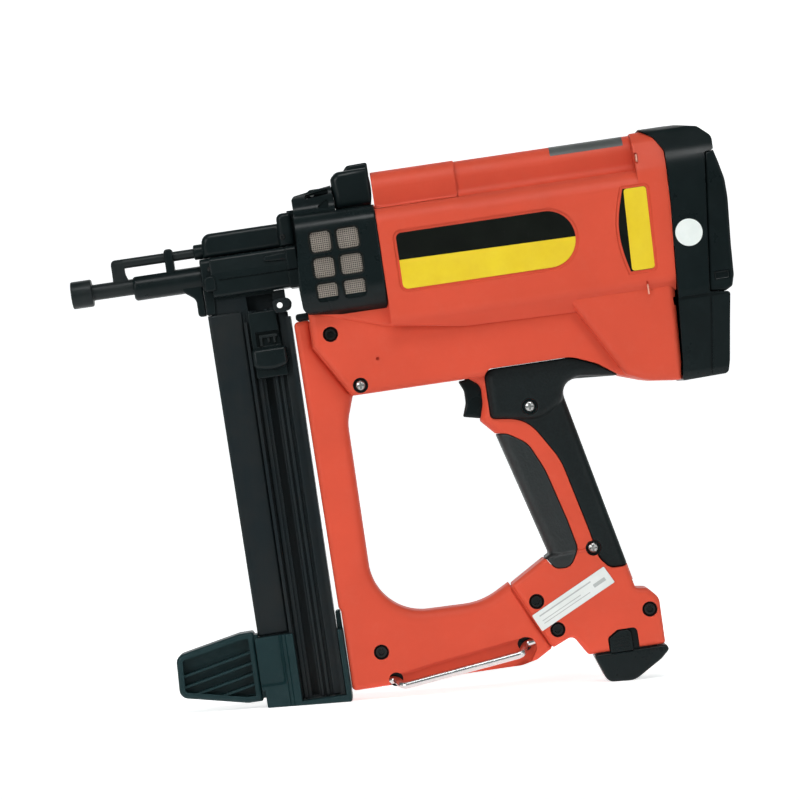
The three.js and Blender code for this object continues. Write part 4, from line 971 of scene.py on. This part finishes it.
lean = math.radians(14)
slide_way = Vector((math.sin(lean), -math.cos(lean)))
side_way = Vector((math.cos(lean), math.sin(lean)))


def stem(grow):
    corners = []
    for up, sideways, r in ((-4, -15, 0), (-4, 15, 0), (57, 15, 5), (57, -15, 5)):
        p = Vector((323.5, -280)) - slide_way * up + side_way * sideways
        corners.append((p.x, p.y, r))
    return outline(corners, grow)


# The end badge's front edge bulges forward between its two corners.
badge_arc = [(363.6 - 2.2 * t - 4.9 * math.sin(math.pi * t), 15.2 - 54 * t, 0)
             for t in (k / 24 for k in range(25))]


def trim_of(grow):
    return {
        "label": outline([(215, -28.5, 3.5), (329.5, -28.5, 18), (329.5, 8, 18), (215, 8, 3.5)], grow),
        "badge": outline([*badge_arc, (377.2, -38.8, 2), (379.4, 15.2, 2)], grow),
        "paper": outline([(266.6, -249.6, 0.6), (271.8, -260.6, 0.6), (323, -235.8, 0.6),
                          (317.3, -224.8, 0.6)], grow),
    }


neck = both(cut(bar(shroud_section(-3), 197, SEAM_X + 1), bar(shroud_section(-5.4), 190, 210)),
            box(190, 210, -50, 50, -50, 28.5))
cavity = join(
    both(bar(shroud_section(-5.4), 190, 210), box(190, 210, -50, 50, -50, 28.5)),
    box(190, 210, -13.2, 13.2, 20, 47.2),
    both(bar(upper_section(-WALL), 206.6, 400),
         slab(outline([(190, -47.3, 0), (212, -48, 20), (250, -54.4, 60), (405, -57.6, 0), (405, 47.6, 0),
                       (190, 47.6, 0)]), -50, 50)),
    slab(outline([(155, -41.6, 1), (155, -56, 2), (174.2, -88.4, 2), (256, -88.4, 3), (300, -88.4, 3),
                  (345, -100.2, 10), (361, -106, 20), (383, -109.2, 0), (400, -109, 0), (400, -50, 0),
                  (230, -50, 0), (SEAM_X + 2, -44.4, 0), (190, -44.4, 4)]), -LOWER_HALF + WALL,
         LOWER_HALF - WALL),
    slab(outline([(336, -52, 0), (360, -103.4, 3), (366, -106, 8), (383, -109.2, 0), (400, -109, 0),
                  (400, -52, 0)]),
         -33.5, 33.5),
    slab(outline([(262, -84, 0), (263.4, -118, 3), (268, -128, 4), (291, -216, 3), (292, -232, 0),
                  (324, -232, 0), (320, -207, 2), (301, -122, 6), (299, -84, 0)]), -11.8, 11.8),
    slab(outline([(264, -232.5, 3), (271.5, -247, 8), (281, -264.5, 3), (291, -262.6, 3), (302.6, -277, 3),
                  (303.4, -290, 0), (346.5, -290, 0), (346.5, -248, 5), (332, -247, 3), (329, -232, 0),
                  (300, -224, 4)]), -BASE_HALF + WALL, BASE_HALF - WALL),
)
trigger_slot = outline([(240, -95, 0), (240, -125, 0), (253.5, -125, 0), (263, -119, 3), (268, -88, 0),
                        (262, -76, 0), (243.8, -76, 0), (243.8, -95, 0)])
hull = join(
    cut(outer_body(), palm_zone(GAP)),
    both(outer_body(), handle_core(GAP)),
    cut(handle(), palm_zone(GAP), finger_zone(GAP)),
    handle_core(GAP),
    cut(base_solid(), finger_zone(GAP), palm_zone(GAP)),
)


def groove(points, wide):
    """A thin strip along a polyline in X-Z."""
    parts = []
    for (x0, z0), (x1, z1) in zip(points, points[1:]):
        way = Vector((x1 - x0, z1 - z0)).normalized() * wide / 2
        side = Vector((-way.y, way.x))
        parts.append(outline([(x0 - way.x - side.x, z0 - way.y - side.y, 0),
                              (x1 + way.x - side.x, z1 + way.y - side.y, 0),
                              (x1 + way.x + side.x, z1 + way.y + side.y, 0),
                              (x0 - way.x + side.x, z0 - way.y + side.y, 0)]))
    return parts


screw_cuts = [m for name, (x, z) in HOUSING_SCREWS.items()
              for m in (cross(2.5, x, z, -45, 45, 20), cross(5, x, z, -60, -HEAD_Y[name] + 3.6, 40))]
bosses = [both(cross(4.4, x, z, -40, 40, 24), hull.copy()) for x, z in HOUSING_SCREWS.values()]
trim_recess = [sunk(trim_of(grow)[name], s, BODY_HALF - depth, BODY_HALF + 0.02, depth * 0.9)
               for s, _ in SIDES for name, grow, depth in (("label", 1.2, 1.3), ("badge", 1.0, 1.2))]
tube_seams = [plate(shape, s, 15.9, 30) for s, _ in SIDES
              for shape in groove([(258.8, 26.5), (258.8, 44)], 0.7)]
body_seams = [plate(shape, s, 16, 30) for s, _ in SIDES for shape in groove([(200, 26.3), (259, 26.3)], 0.9)]
snaps = [plate(outline([(x0, z0, 0.6), (x1, z0, 0.6), (x1, z1, 0.6), (x0, z1, 0.6)]), s, depth, 60)
         for s, _ in SIDES for x0, x1, z0, z1, depth in ((374.6, 376.8, 30, 37, 30),
                                                         (386.2, 389.6, -64, -58.6, 33),
                                                         (370.2, 371.8, -56, -46, 38.6))]
bored = cut(
    join(cut(hull, cavity), *bosses, neck),
    slab(stem(0.5), -12, 12),
    slab(trigger_slot, -8.4, 8.4),
    slab(outline([(313.2, -290, 0), (333, -290, 0), (333, -268.5, 3), (331, -266.6, 2), (320, -266.6, 3),
                  (313.2, -271, 3)]), -30, 30),
    *screw_cuts,
    *trim_recess,
    *tube_seams,
    *body_seams,
    *snaps,
    slab(trim_of(GAP)["paper"], -60, -BASE_HALF + 0.5),
    cross(1.6, *TRIGGER_PIVOT, -12.4, 12.4),
    rod(SLEEVE_R + 0.6, 330, 400, 0, 64),
    cross(1.3, 192, -70, -60, -LOWER_HALF + 1.5, 24),
)
for s, side in SIDES:
    show("shell_" + side, largest(half(s, bored.copy())), "orange", nodes=["housing_" + side])

# ---------------------------------------------------------------- column, bridge and bail
bail_along = Vector((BAIL_BACK[0] - BAIL_FRONT[0], 0, BAIL_BACK[1] - BAIL_FRONT[1])).normalized()
bail_down = Vector((bail_along.z, 0, -bail_along.x))
bail_pocket = slab(outline([(172.6, -290, 0), (262, -280, 0), (267.4, -271, 4), (265, -262.8, 5),
                            (252, -263.8, 20), (200, -270.5, 40), (180, -274, 12), (174.6, -274.6, 3),
                            (173, -279, 2)]), -30,
                   BAIL_POCKET_Y, 0, 2.4)
bail_wells = [cross(4.7, BAIL_FRONT[0] + 1.4, BAIL_FRONT[1], -30, BAIL_Y + 3.8, 48),
              cross(4.7, BAIL_BACK[0] - 1.4, BAIL_BACK[1], -30, BAIL_Y + 3.8, 48)]
frame_outer = cut(slab(outline(FRAME_SIDE), -FRAME_HALF, FRAME_HALF, 4),
                  flared(outline(HAND_OPENING), FRAME_HALF, 7))
frame_inner = join(
    slab(outline([(146.6, -43, 3), (147.2, -275, 3), (160, -277, 3), (160, -120, 3), (162.6, -105, 8),
                  (166.4, -90, 3), (150.4, -62, 3), (148, -43, 2)], -0.3), -FRAME_HALF + WALL,
         FRAME_HALF - WALL),
    slab(outline([(152, -262, 3), (254, -262, 6), (262, -259, 3), (250, -236, 3), (236, -240, 12),
                  (160, -240, 20)]),
         -FRAME_HALF + WALL, FRAME_HALF - WALL),
)
frame_boss = [both(cross(4.6, x, z, -40, 40, 24), frame_outer.copy()) for x, z in FRAME_SCREWS.values()]
frame_hull = cut(
    join(cut(frame_outer, frame_inner), *frame_boss),
    bail_pocket,
    *bail_wells,
    *(m for name, (x, z) in FRAME_SCREWS.items()
      for m in (cross(2.5, x, z, -45, 45, 20), cross(5, x, z, -60, -HEAD_Y[name] + 3.6, 40))),
)


def pin_at(point, start, end):
    a = Vector((point[0], BAIL_Y, point[1]))
    return [a + bail_along * start, a + bail_along * end]


frame_all = cut(
    frame_hull,
    tube(pin_at(BAIL_FRONT, -8.6, 0), BAIL_R + 0.3, 32),
    tube(pin_at(BAIL_BACK, 0, 8.6), BAIL_R + 0.3, 32),
)
for s, side in SIDES:
    show("column_" + side, largest(half(s, frame_all.copy())), "orange", nodes=["frame_" + side])

away = bail_down * 5.2 + Vector((0, -8.6, 0))
hinge_a = Vector((BAIL_FRONT[0], BAIL_Y, BAIL_FRONT[1]))
hinge_b = Vector((BAIL_BACK[0], BAIL_Y, BAIL_BACK[1]))
bail_points = [hinge_a - bail_along * 7.5, hinge_a + bail_along * 1.2, hinge_a + bail_along * 5 + away,
               hinge_b - bail_along * 5 + away, hinge_b - bail_along * 1.2, hinge_b + bail_along * 7.5]


def soft_path(points, reach):
    """A polyline with each inner corner softened by a quadratic arc."""
    path = [points[0]]
    for before, corner, after in zip(points, points[1:], points[2:]):
        a = corner + (before - corner).normalized() * reach
        b = corner + (after - corner).normalized() * reach
        for k in range(BEND_STEPS + 1):
            t = k / BEND_STEPS
            path.append(a * (1 - t) ** 2 + corner * 2 * t * (1 - t) + b * t * t)
    path.append(points[-1])
    return path


# Painted shade: black sleeves in the bail's holes stand in for the shade inside them.
hole_shades = []
for (x, z), shift in ((BAIL_FRONT, 1.4), (BAIL_BACK, -1.4)):
    hole_shades.append(cut(cross(4.66, x + shift, z, BAIL_POCKET_Y - 0.2, BAIL_Y + 4.3, 48),
                       cross(4.1, x + shift, z, -30, BAIL_Y + 3.4, 48),
                       tube(pin_at((x, z), -12, 12), BAIL_R + 0.4, 24)))
show("bail_hole_shade", join(*hole_shades), "black")
show("bail_wire", tube(soft_path(bail_points, 3), BAIL_R, 24), "chrome", "bail_loop", ["bail"], angle=60)

# Thin tongues a little below the surface close the joints between the mouldings.
seam_points = (("bridge_seam", [(256.6, -230), (265.2, -248.1), (276.6, -271)]),
               ("column_seam", [(151.4, -41), (151.4, -57), (171.9, -91.2)]))
for name, points in seam_points:
    strips = [slab(shape, -15.4, 15.4) for shape in groove(points, 1)]
    show(name, join(strips[0], *strips[1:]), "orange")

# ---------------------------------------------------------------- soft grips
skin = cut(handle(), handle_core(0))
boss_holes = [cross(5.15, x, z, -40, 40, 32) for x, z in HOUSING_SCREWS.values()]
above = cut(slab(outline([(240, -60, 0), (240, -91, 0), (400, -91, 0), (400, -60, 0)]), -60, 60),
            palm_zone(0))
palm_skin = cut(both(skin, palm_zone(0)), above, slab(trigger_slot, -8.4, 8.4), *boss_holes)
finger_skin = cut(
    both(cut(join(grip_solid(0), both(base_solid(), finger_zone(0))), grip_solid(SKIN)), finger_zone(0)),
    cut(base_solid(), finger_zone(GAP * 0.9)),
    slab(outline([(285, -217.5, 0), (284, -260, 0), (330, -260, 0), (330, -217.5, 0)]), -15.2, 15.2),
)
for s, side in SIDES:
    for name, pad, look in (("palm", palm_skin, "soft"), ("finger", finger_skin, "finger")):
        made = softened(largest(half(s, pad.copy())), 0.55, 16)
        show(f"{name}_pad_{side}", made, look, nodes=[f"{name}_grip_{side}"], angle=80)

# ---------------------------------------------------------------- labels and badges
label_split = [(180, -9, 0), (400, -11.6, 0)]
below_split = outline([(180, -60, 0), (400, -60, 0), *label_split[::-1]])
above_split = outline([(180, 60, 0), (400, 60, 0), *label_split[::-1]])
bright = outline([(362.4, -38.3, 2), (377.3, -38.3, 2), (379, 14.7, 2), (364.4, 14.7, 2)])
for s, side in SIDES:
    near, far = BODY_HALF - 1.8, BODY_HALF - 0.8
    tag = plate(trim_of(0)["label"], s, near, far, 0.2)
    show("label_band_" + side, both(tag.copy(), slab(below_split, -60, 60)), "yellow",
         nodes=["side_badge_" + side])
    show("label_field_" + side, both(tag, slab(above_split, -60, 60)), "ink")
    show("badge_band_" + side, plate(bright, s, near, far + 0.08, 0.15), "yellow",
         nodes=["end_badge_" + side])
    show("badge_field_" + side, plate(trim_of(-0.3)["badge"], s, near, far - 0.1, 0.15), "ink")
show("paper_label", plate(trim_of(0)["paper"], -1, BASE_HALF - 0.2, BASE_HALF + 0.15, 0.1), "paper",
     nodes=["rating_label"])
paper_way = Vector((323 - 271.8, -235.8 + 260.6)).normalized()
paper_up = Vector((-paper_way.y, paper_way.x))
for i, (start, end, rise, tall) in enumerate(((4, 40, 3.2, 0.5), (4, 34, 5.2, 0.5), (4, 44, 8.6, 0.9),
                                              (44, 53, 4.2, 2.4))):
    corners = []
    for along, up in ((start, rise), (end, rise), (end, rise + tall), (start, rise + tall)):
        p = Vector((271.8, -260.6)) + paper_way * along + paper_up * up
        corners.append((p.x, p.y, 0.2))
    show(f"paper_rule_{i}", plate(outline(corners), -1, BASE_HALF + 0.05, BASE_HALF + 0.2), "rule")

top_label = both(cut(bar(upper_section(0.12, 1.1), 322, 370, 0.1), bar(upper_section(-0.3, 1.1), 320, 372)),
                 box(322, 370, -30, 30, 44, 55, 0.5))
show("top_label", top_label, "film")

# ---------------------------------------------------------------- rear cover
def cap_skirt(depth, z0, z1):
    """What lies outside the cover's section between two heights, so that a step or groove is left."""
    return both(cut(bar(cap_section(3), 380, 430), bar(cap_section(-depth), 370, 440)),
                box(370, 440, -60, 60, z0, z1))


cap_front = [(380, 52.2, 0), (388.2, 46, 5), (394.2, 36, 6), (393.2, 0, 60), (390.2, -42, 60),
             (386.2, -100, 30), (384.6, -113, 1)]
cap_side = [*((x + GAP, z, r) for x, z, r in cap_front), (414.6, -112.2, 3), (416.6, -104, 10),
            (420, -80, 10), (423, -60, 2), (409.6, -58.8, 1), (419.4, 31, 1), (425.4, 32, 1), (426, 41, 6),
            (418, 48.8, 4), (404, 51.8, 8), (396, 52.2, 4)]
cap = cut(
    both(bar(cap_section(0), 370, 430), slab(outline(cap_side), -50, 50, 3)),
    both(bar(cap_section(-WALL), 360, 414.7),
         slab(outline([(360, -109, 0), (410, -109, 3), (414.7, -104, 6), (414.7, 44, 3), (404, 48.6, 3),
                       (360, 48.6, 0)]), -50, 50)),
    slab(outline([(405, -48, 3), (435, -48, 3), (435, 26, 3), (405, 26, 3)]), -34, 34),
    cap_skirt(1.5, -61.4, -59.4),
    cap_skirt(0.5, -120, -60.5),
    both(cap_skirt(1.5, -118, -60), slab(outline([(409.7, -60, 0), (411.1, -60, 0), (403.8, -116, 0),
                                                  (402.4, -116, 0)]),
                                         -60, 60)),
)
show("rear_cap", cap, "black", nodes=["rear_cover"])
filter_side = [(410, -58.2, 1), (420.5, -59.4, 1), (425, -57, 2), (427, -50, 3), (428, -30, 30),
               (430.3, 0, 60), (430, 12, 20), (427.4, 24, 4), (425.4, 31.6, 0.5), (419.8, 30.6, 0.5)]
filter_lid = cut(
    both(bar(cap_section(-0.5), 408, 435), slab(outline(filter_side), -40, 40, 1.6)),
    slab(outline([(400, -50, 0), (422.6, -50, 2), (424.6, -30, 10), (426.9, 0, 20), (426, 18, 2),
                  (400, 18, 0)]),
         -34.5, 34.5),
    *(box(424, 440, -22, 22, z, z + 5, 1) for z in range(-36, 8, 14)),
    *(box(414, 424.5, *across(s, 37.6, 60), -52, -46, 1.5) for s, _ in SIDES),
)
show("filter_lid", filter_lid, "black", nodes=["filter_cover"])
# Hooks in the snap slots, drawn in a paler pinkish orange.
for s, side in SIDES:
    hooks = [box(375.4, 376.5, *across(s, 33, 36.6), 31, 36, 0.4),
             box(370.5, 371.6, *across(s, 38.7, 39.9), -54.6, -48, 0.4)]
    for i, hook in enumerate(hooks):
        show(f"hook_{i}_{side}", hook, "pale_tone")
show("round_sticker", cross(8.8, 402, -19, -42.75, -42.2, 64, 0.1), "foil")

# A filler under the hood closes the gap between the nose castings and the shroud.
show("hood_tongue", box(147, 155, -9, 9, -10, 34), "black")

# ---------------------------------------------------------------- trigger
trigger = join(
    slab(outline([(241.4, -115.6, 1), (253.4, -118.4, 2), (256.6, -108, 10), (257, -98, 6),
                  (255.8, -81.5, 2.5), (249.8, -81.5, 2.5), (246.6, -91.8, 2), (241.4, -92, 1),
                  (244.6, -99, 8), (244.4, -107, 8)]),
         -7.6, 7.6, 1.8),
    cross(1.45, *TRIGGER_PIVOT, -12, 12),
)
show("trigger_blade", trigger, "black", "trigger_lever", ["trigger"], angle=50)

# ---------------------------------------------------------------- battery
LATCH_Y = 16.6
battery_block = slab(outline([(302.6, -280.8, 1.5), (309.4, floor_z(309.4), 6), (327, floor_z(327), 12),
                              (346, -289.5, 8), (352, -284, 4), (350.4, -280.8, 1)]), -BASE_HALF, BASE_HALF,
                     1.8)
battery_neck = slab(outline([(304.6, -282.4, 0), (344.6, -282.4, 0), (343, -266.6, 2), (303.6, -266.6, 2)]),
                    -15.8, 15.8)


def latch_pad(s, grow, rim=0.0):
    return plate(outline([(313.9, -281.4, 1), (329, -281.4, 1), (329, -269.4, 3), (327.6, -267.6, 2),
                          (320.6, -267.6, 2), (313.9, -271.6, 2)], grow), s, LATCH_Y - 4.6 - grow,
                 BASE_HALF - 0.4 + grow * 40, rim)


pads = [latch_pad(-1, 0.4), latch_pad(1, 0.4)]
battery = cut(join(battery_block, cut(battery_neck, *[p.copy() for p in pads]),
                   slab(stem(0), -11.4, 11.4, 1.5)), *pads)
show("battery_case", battery, "black", "battery_pack", ["battery"])
for s, side in SIDES:
    ribs = [box(316, 327, *across(s, 18.8, 19.7), -279.6 + i * 2.4, -278.6 + i * 2.4, 0.25)
            for i in range(4)]
    pad = cut(latch_pad(s, 0, 0.8), half_space(-s, -LATCH_Y + 2))
    show("latch_" + side, join(pad, *ribs), "black", "latch_" + side, ["battery_latch_" + side])

# ---------------------------------------------------------------- magazine
MAG_TOP = -16
MAG_END = -282.4
ridges = ((112.2, 115.6), (123.6, 126), (127, 129.8), (131.4, 138))
rail = cut(
    join(
        box(88.9, 110, -6.7, 6.7, MAG_END, MAG_TOP - 11.2),
        box(88.9, 138, -5.6, 5.6, MAG_END, MAG_TOP),
        box(136.8, 139.6, -14, 14, MAG_END, MAG_TOP - 18),
        *(m for x0, x1 in ridges for m in (box(x0, x1, -8.2, -5, MAG_END, MAG_TOP - 10, 1.1),
                                           box(x0, x1, 5, 8.2, MAG_END, MAG_TOP - 10, 1.1))),
        box(109, 111, -13, 13, MAG_END, MAG_TOP - 18),
    ),
    box(90.2, 134, -slot + 0.3, slot - 0.3, MAG_END - 1, MAG_TOP + 1),
    box(117.6, 122.4, -9, 0, MAG_END + 1.5, -23),
    box(112.6, 130, -9, 0, -27, -17.4),
    box(131.4, 139, -9, 9, -30.6, -22.4),
)
show("rail", rail, "dark_metal", nodes=["magazine_rail"])
sheath = cut(
    slab(outline([(86.3, MAG_TOP - 10.4, 0), (88.2, -237.4, 0), (108.6, -237.4, 0),
                  (108.6, MAG_TOP - 10.4, 0)]),
         -8.6, 8.6, 1.6),
    box(88.5, 112, -7.1, 7.1, -240, -10),
)
show("sheath", sheath, "dark_metal", nodes=["magazine_cover"])
pusher = cut(
    join(
        slab(outline([(112.4, -71.6, 1), (133, -71.6, 1), (133, -64, 1), (131.4, -52, 1), (130.6, -28.4, 1.5),
                      (112.2, -28.4, 1.5)]), -12.2, -7.8, 0.8, 0),
        slab(outline([(111.4, -65, 4), (123, -67.4, 20), (134.6, -65, 4), (134.2, -52.4, 2),
                      (111.6, -52.4, 2)]),
             -16, -9, 3, 0),
        box(118.2, 121.8, -9, -2, -68, -32),
        box(91, 133, -2.9, 2.9, -68, -32),
    ),
    box(115.4, 131, -14, -8.6, -51.4, -41.6, 0.6),
)
bracket = join(box(117.4, 129.6, -11, -8, -45.6, -43.8, 0.4), box(117.6, 119.4, -11, -8, -51, -44, 0.4),
               box(122.6, 124.2, -10.4, -8, -49, -44, 0.4), box(126.4, 128, -11, -8, -49.6, -44, 0.4))
show("pusher_bracket", bracket, "probe_metal", "follower")
show("pusher", pusher, "black", "follower", ["nail_follower"])
pivot_latch = cut(
    join(slab(outline([(129.6, -22.8, 1), (133.6, -21.8, 2), (141.4, -21.8, 3.5), (141.8, -29.4, 3.5),
                       (136.4, -31, 2), (131, -31, 2), (129.6, -28, 1)]), -15.8, -12.6, 0.5),
         cross(2.9, 138.9, -25.6, -16.8, -7.8, 32, 0.5)),
    cross(1.9, 134, -26.2, -20, 0, 32),
)
show("pivot_latch", pivot_latch, "dark_metal", nodes=["magazine_latch"])
heel = outline([(88.2, floor_z(88.2), 1), (*FOOT_HEEL, 1.5), (FOOT_HEEL[0], -240, 2), (140, -240, 1),
                (140, -283, 0), (111.2, -282.9, 0), (111.2, -238.4, 1), (86.2, -238.4, 1.5), (86.2, -273, 1),
                (88.2, -273, 0)])
foot = cut(
    join(
        slab(heel, -17, 17, 0.9),
        slab(outline([(140, -246, 0), (143.4, -246, 0), (143.4, -228.4, 1), (140.4, -228.4, 1)]), -9, 9, 0.6),
    ),
    box(88, 109, -9, 9, -238, -237),
    box(88.6, 112, -7, 7, -282.7, -230),
    box(108.7, 112, -13.4, 13.4, -282.7, -230),
    *(sunk(outline([(84, -268.8, 1.5), (101.4, -268.8, 1.5), (101.4, -230, 1.5), (84, -230, 1.5)]), s, 14.6,
           17.02, 1.6)
      for s, _ in SIDES),
    *(sunk(outline([(103.9, -286, 0), (105.7, -286, 0), (105.7, -230, 0), (103.9, -230, 0)]), s, 16, 17.02,
           0.8)
      for s, _ in SIDES),
)
show("heel_plate", foot, "foot", nodes=["magazine_foot"])
WING = [(85.8, -233.8, 2), (76, -234, 10), (33.6, -242.6, 6), (32.4, -269.8, 6), (76, -279.4, 10),
        (85.8, -279.4, 1)]
RIB_RISE = 0.21
wing_ribs = []
for i in range(4):
    low = -247 - 7 * i - RIB_RISE * 52
    wing_ribs.append(slab(outline([(30, low - 0.9, 0), (86, low + RIB_RISE * 56 - 0.9, 0),
                                   (86, low + RIB_RISE * 56 + 0.9, 0), (30, low + 0.9, 0)]), -11.2, 11.2,
                          0.5))
wing_recess = join(*(plate(outline(WING, -4), s, 4, 30) for s, _ in SIDES))
wing = cut(slab(outline(WING), -13, 13, 2.4),
           cut(wing_recess, both(join(*wing_ribs), slab(outline(WING, -2), -20, 20))))
wing = join(wing, box(84, 88, -11, 11, -277.6, -236))
show("wing", wing, "foot", nodes=["support_foot"])


# ---------------------------------------------------------------- screws
def screw(name, point, head_y, socket):
    """A screw driven from the left, with a hexagon socket or a domed cross head, ringed in black as painted
    shade in the gap round its head.
    """
    x, z = point
    y0 = -head_y
    shank = cross(2.1, x, z, y0 + 2.6, 12, 24)
    if socket:
        head = cross(4.4, x, z, y0, y0 + 3, 40, 0.9)
        recess = [cross(2.5, x, z, y0 - 1, y0 + 2.8, 6)]
    else:
        dome = [(y0 + 2.4 * (1 - math.cos(a)), 3.9 * math.sin(a))
                for a in (math.pi / 2 * k / 8 for k in range(1, 9))]
        head = loft([(y, circle(x, z, r, 40)) for y, r in [*dome, (y0 + 3, 3.9)]], lambda px, pz,
                    y: (px, y, pz))
        recess = [box(x - 2.3, x + 2.3, y0 - 1, y0 + 1.9, z - 0.55, z + 0.55),
                  box(x - 0.55, x + 0.55, y0 - 1, y0 + 1.9, z - 2.3, z + 2.3)]
    show("bolt_" + name, cut(join(head, shank), *recess), "bolt" if socket else "steel",
         nodes=["screw_" + name])
    # Painted shade: a black ring fills the gap between the head and its hole.
    shade_ring = cut(cross(4.95, x, z, y0 + 0.5, y0 + 3.4, 40), cross(4.5 if socket else 3.95, x, z, -60, 0, 40))
    show("collar_" + name, shade_ring, "black")


for name, point in {**HOUSING_SCREWS, **FRAME_SCREWS}.items():
    screw(name, point, HEAD_Y[name], name not in ("pistol_top", "pistol_low", "lower_front"))

# ---------------------------------------------------------------- CAD nodes that stay
KEPT = {
    "air_filter": "foam", "bumper": "soft", "combustion_sleeve": "alloy", "control_board": "circuit",
    "cylinder": "steel", "cylinder_head": "alloy", "door_pin": "steel", "fan": "bronze", "fan_motor": "steel",
    "gas_can": "alloy", "gas_valve": "black", "piston_driver": "steel", "probe_link": "steel",
    "spark_plug": "ceramic", "trigger_switch": "dark_metal",
}
for name, look in KEPT.items():
    node = frame["nodes"][name]
    for place in node.material_slots:
        place.material = LOOKS[look]
    if not node.material_slots:
        node.data.materials.append(LOOKS[look])

# ---------------------------------------------------------------- studio
bpy.data.collections.remove(scratch)
FLOOR_WIDE = 6.0
SWEEP_R = 0.8
FLOOR_FRONT = -0.95
FLOOR_BACK = 3.9
profile = [(FLOOR_FRONT, 0.0), (FLOOR_BACK, 0.0)]
profile += [(FLOOR_BACK + SWEEP_R * math.sin(a), SWEEP_R * (1 - math.cos(a)))
            for a in (math.pi / 2 * k / 24 for k in range(1, 25))]
profile.append((FLOOR_BACK + SWEEP_R, 6.0))
points = [(x, y, z) for y, z in profile for x in (-FLOOR_WIDE, FLOOR_WIDE)]
faces = [(2 * i, 2 * i + 1, 2 * i + 3, 2 * i + 2) for i in range(len(profile) - 1)]
sweep_mesh = bpy.data.meshes.new("studio_sweep")
sweep_mesh.from_pydata(points, [], faces)
for face in sweep_mesh.polygons:
    face.use_smooth = True
sweep = bpy.data.objects.new("studio_sweep", sweep_mesh)
bpy.context.scene.collection.objects.link(sweep)
white, tree, surface = shader("studio_white")
g = Graph(tree)
g.link(g.mix(g.noise(3, 2, 0.5), (0.93, 0.93, 0.93), (0.96, 0.96, 0.96)), surface.inputs["Base Color"])
surface.inputs["Roughness"].default_value = 0.9
surface.inputs["Emission Color"].default_value = (1, 1, 1, 1)
surface.inputs["Emission Strength"].default_value = 0.66
sweep_mesh.materials.append(white)

world = bpy.data.worlds.new("studio")
bpy.context.scene.world = world
world.use_nodes = True
nodes, links = world.node_tree.nodes, world.node_tree.links
dim = nodes["Background"]
dim.inputs["Color"].default_value = (0.86, 1, 1, 1)
dim.inputs["Strength"].default_value = 0.2
seen = nodes.new("ShaderNodeBackground")
seen.inputs["Color"].default_value = (1, 1, 1, 1)
path = nodes.new("ShaderNodeLightPath")
either = nodes.new("ShaderNodeMixShader")
links.new(path.outputs["Is Camera Ray"], either.inputs[0])
links.new(dim.outputs[0], either.inputs[1])
links.new(seen.outputs[0], either.inputs[2])
links.new(either.outputs[0], nodes["World Output"].inputs["Surface"])


def soft_light(name, place, target, size, power, spread=math.pi):
    light = bpy.data.lights.new(name, "AREA")
    light.shape = "RECTANGLE"
    light.spread = spread
    light.size, light.size_y = size
    light.energy = power
    made = bpy.data.objects.new(name, light)
    bpy.context.scene.collection.objects.link(made)
    made.location = place
    made.rotation_euler = (Vector(target) - Vector(place)).to_track_quat("-Z", "Y").to_euler()


middle = (cad_box[0] + cad_box[1]) / 2
soft_light("key", (-1.1, -1.5, 0.85), middle + Vector((0, 0, 0.16)), (0.8, 0.8), 0.95, math.radians(36))
soft_light("fill", (1.4, -1.6, 0.7), middle, (0.9, 0.9), 6)
soft_light("top", (0.1, -0.9, 1.5), middle + Vector((0, 0, 0.16)), (1.2, 0.5), 1.1, math.radians(40))

# The view covers 520 mm at the tool's left side, with the picture turned a little anticlockwise.
VIEW_WIDE = 0.5191
LENS = 180
SENSOR = 36
ROLL = math.radians(-4.4)
left_y = -0.02
aim = FRAME @ Vector((202.36, 0, -98.6))
camera = bpy.data.objects.new("camera", bpy.data.cameras.new("camera"))
bpy.context.scene.collection.objects.link(camera)
camera.data.lens = LENS
camera.data.sensor_width = SENSOR
camera.location = (aim.x, left_y - VIEW_WIDE * LENS / SENSOR, aim.z)
camera.rotation_euler = (Matrix.Rotation(math.pi / 2, 3, "X") @ Matrix.Rotation(ROLL, 3, "Z")).to_euler()
camera.data.clip_end = 50
bpy.context.scene.camera = camera
bpy.context.scene.view_settings.view_transform = "Standard"
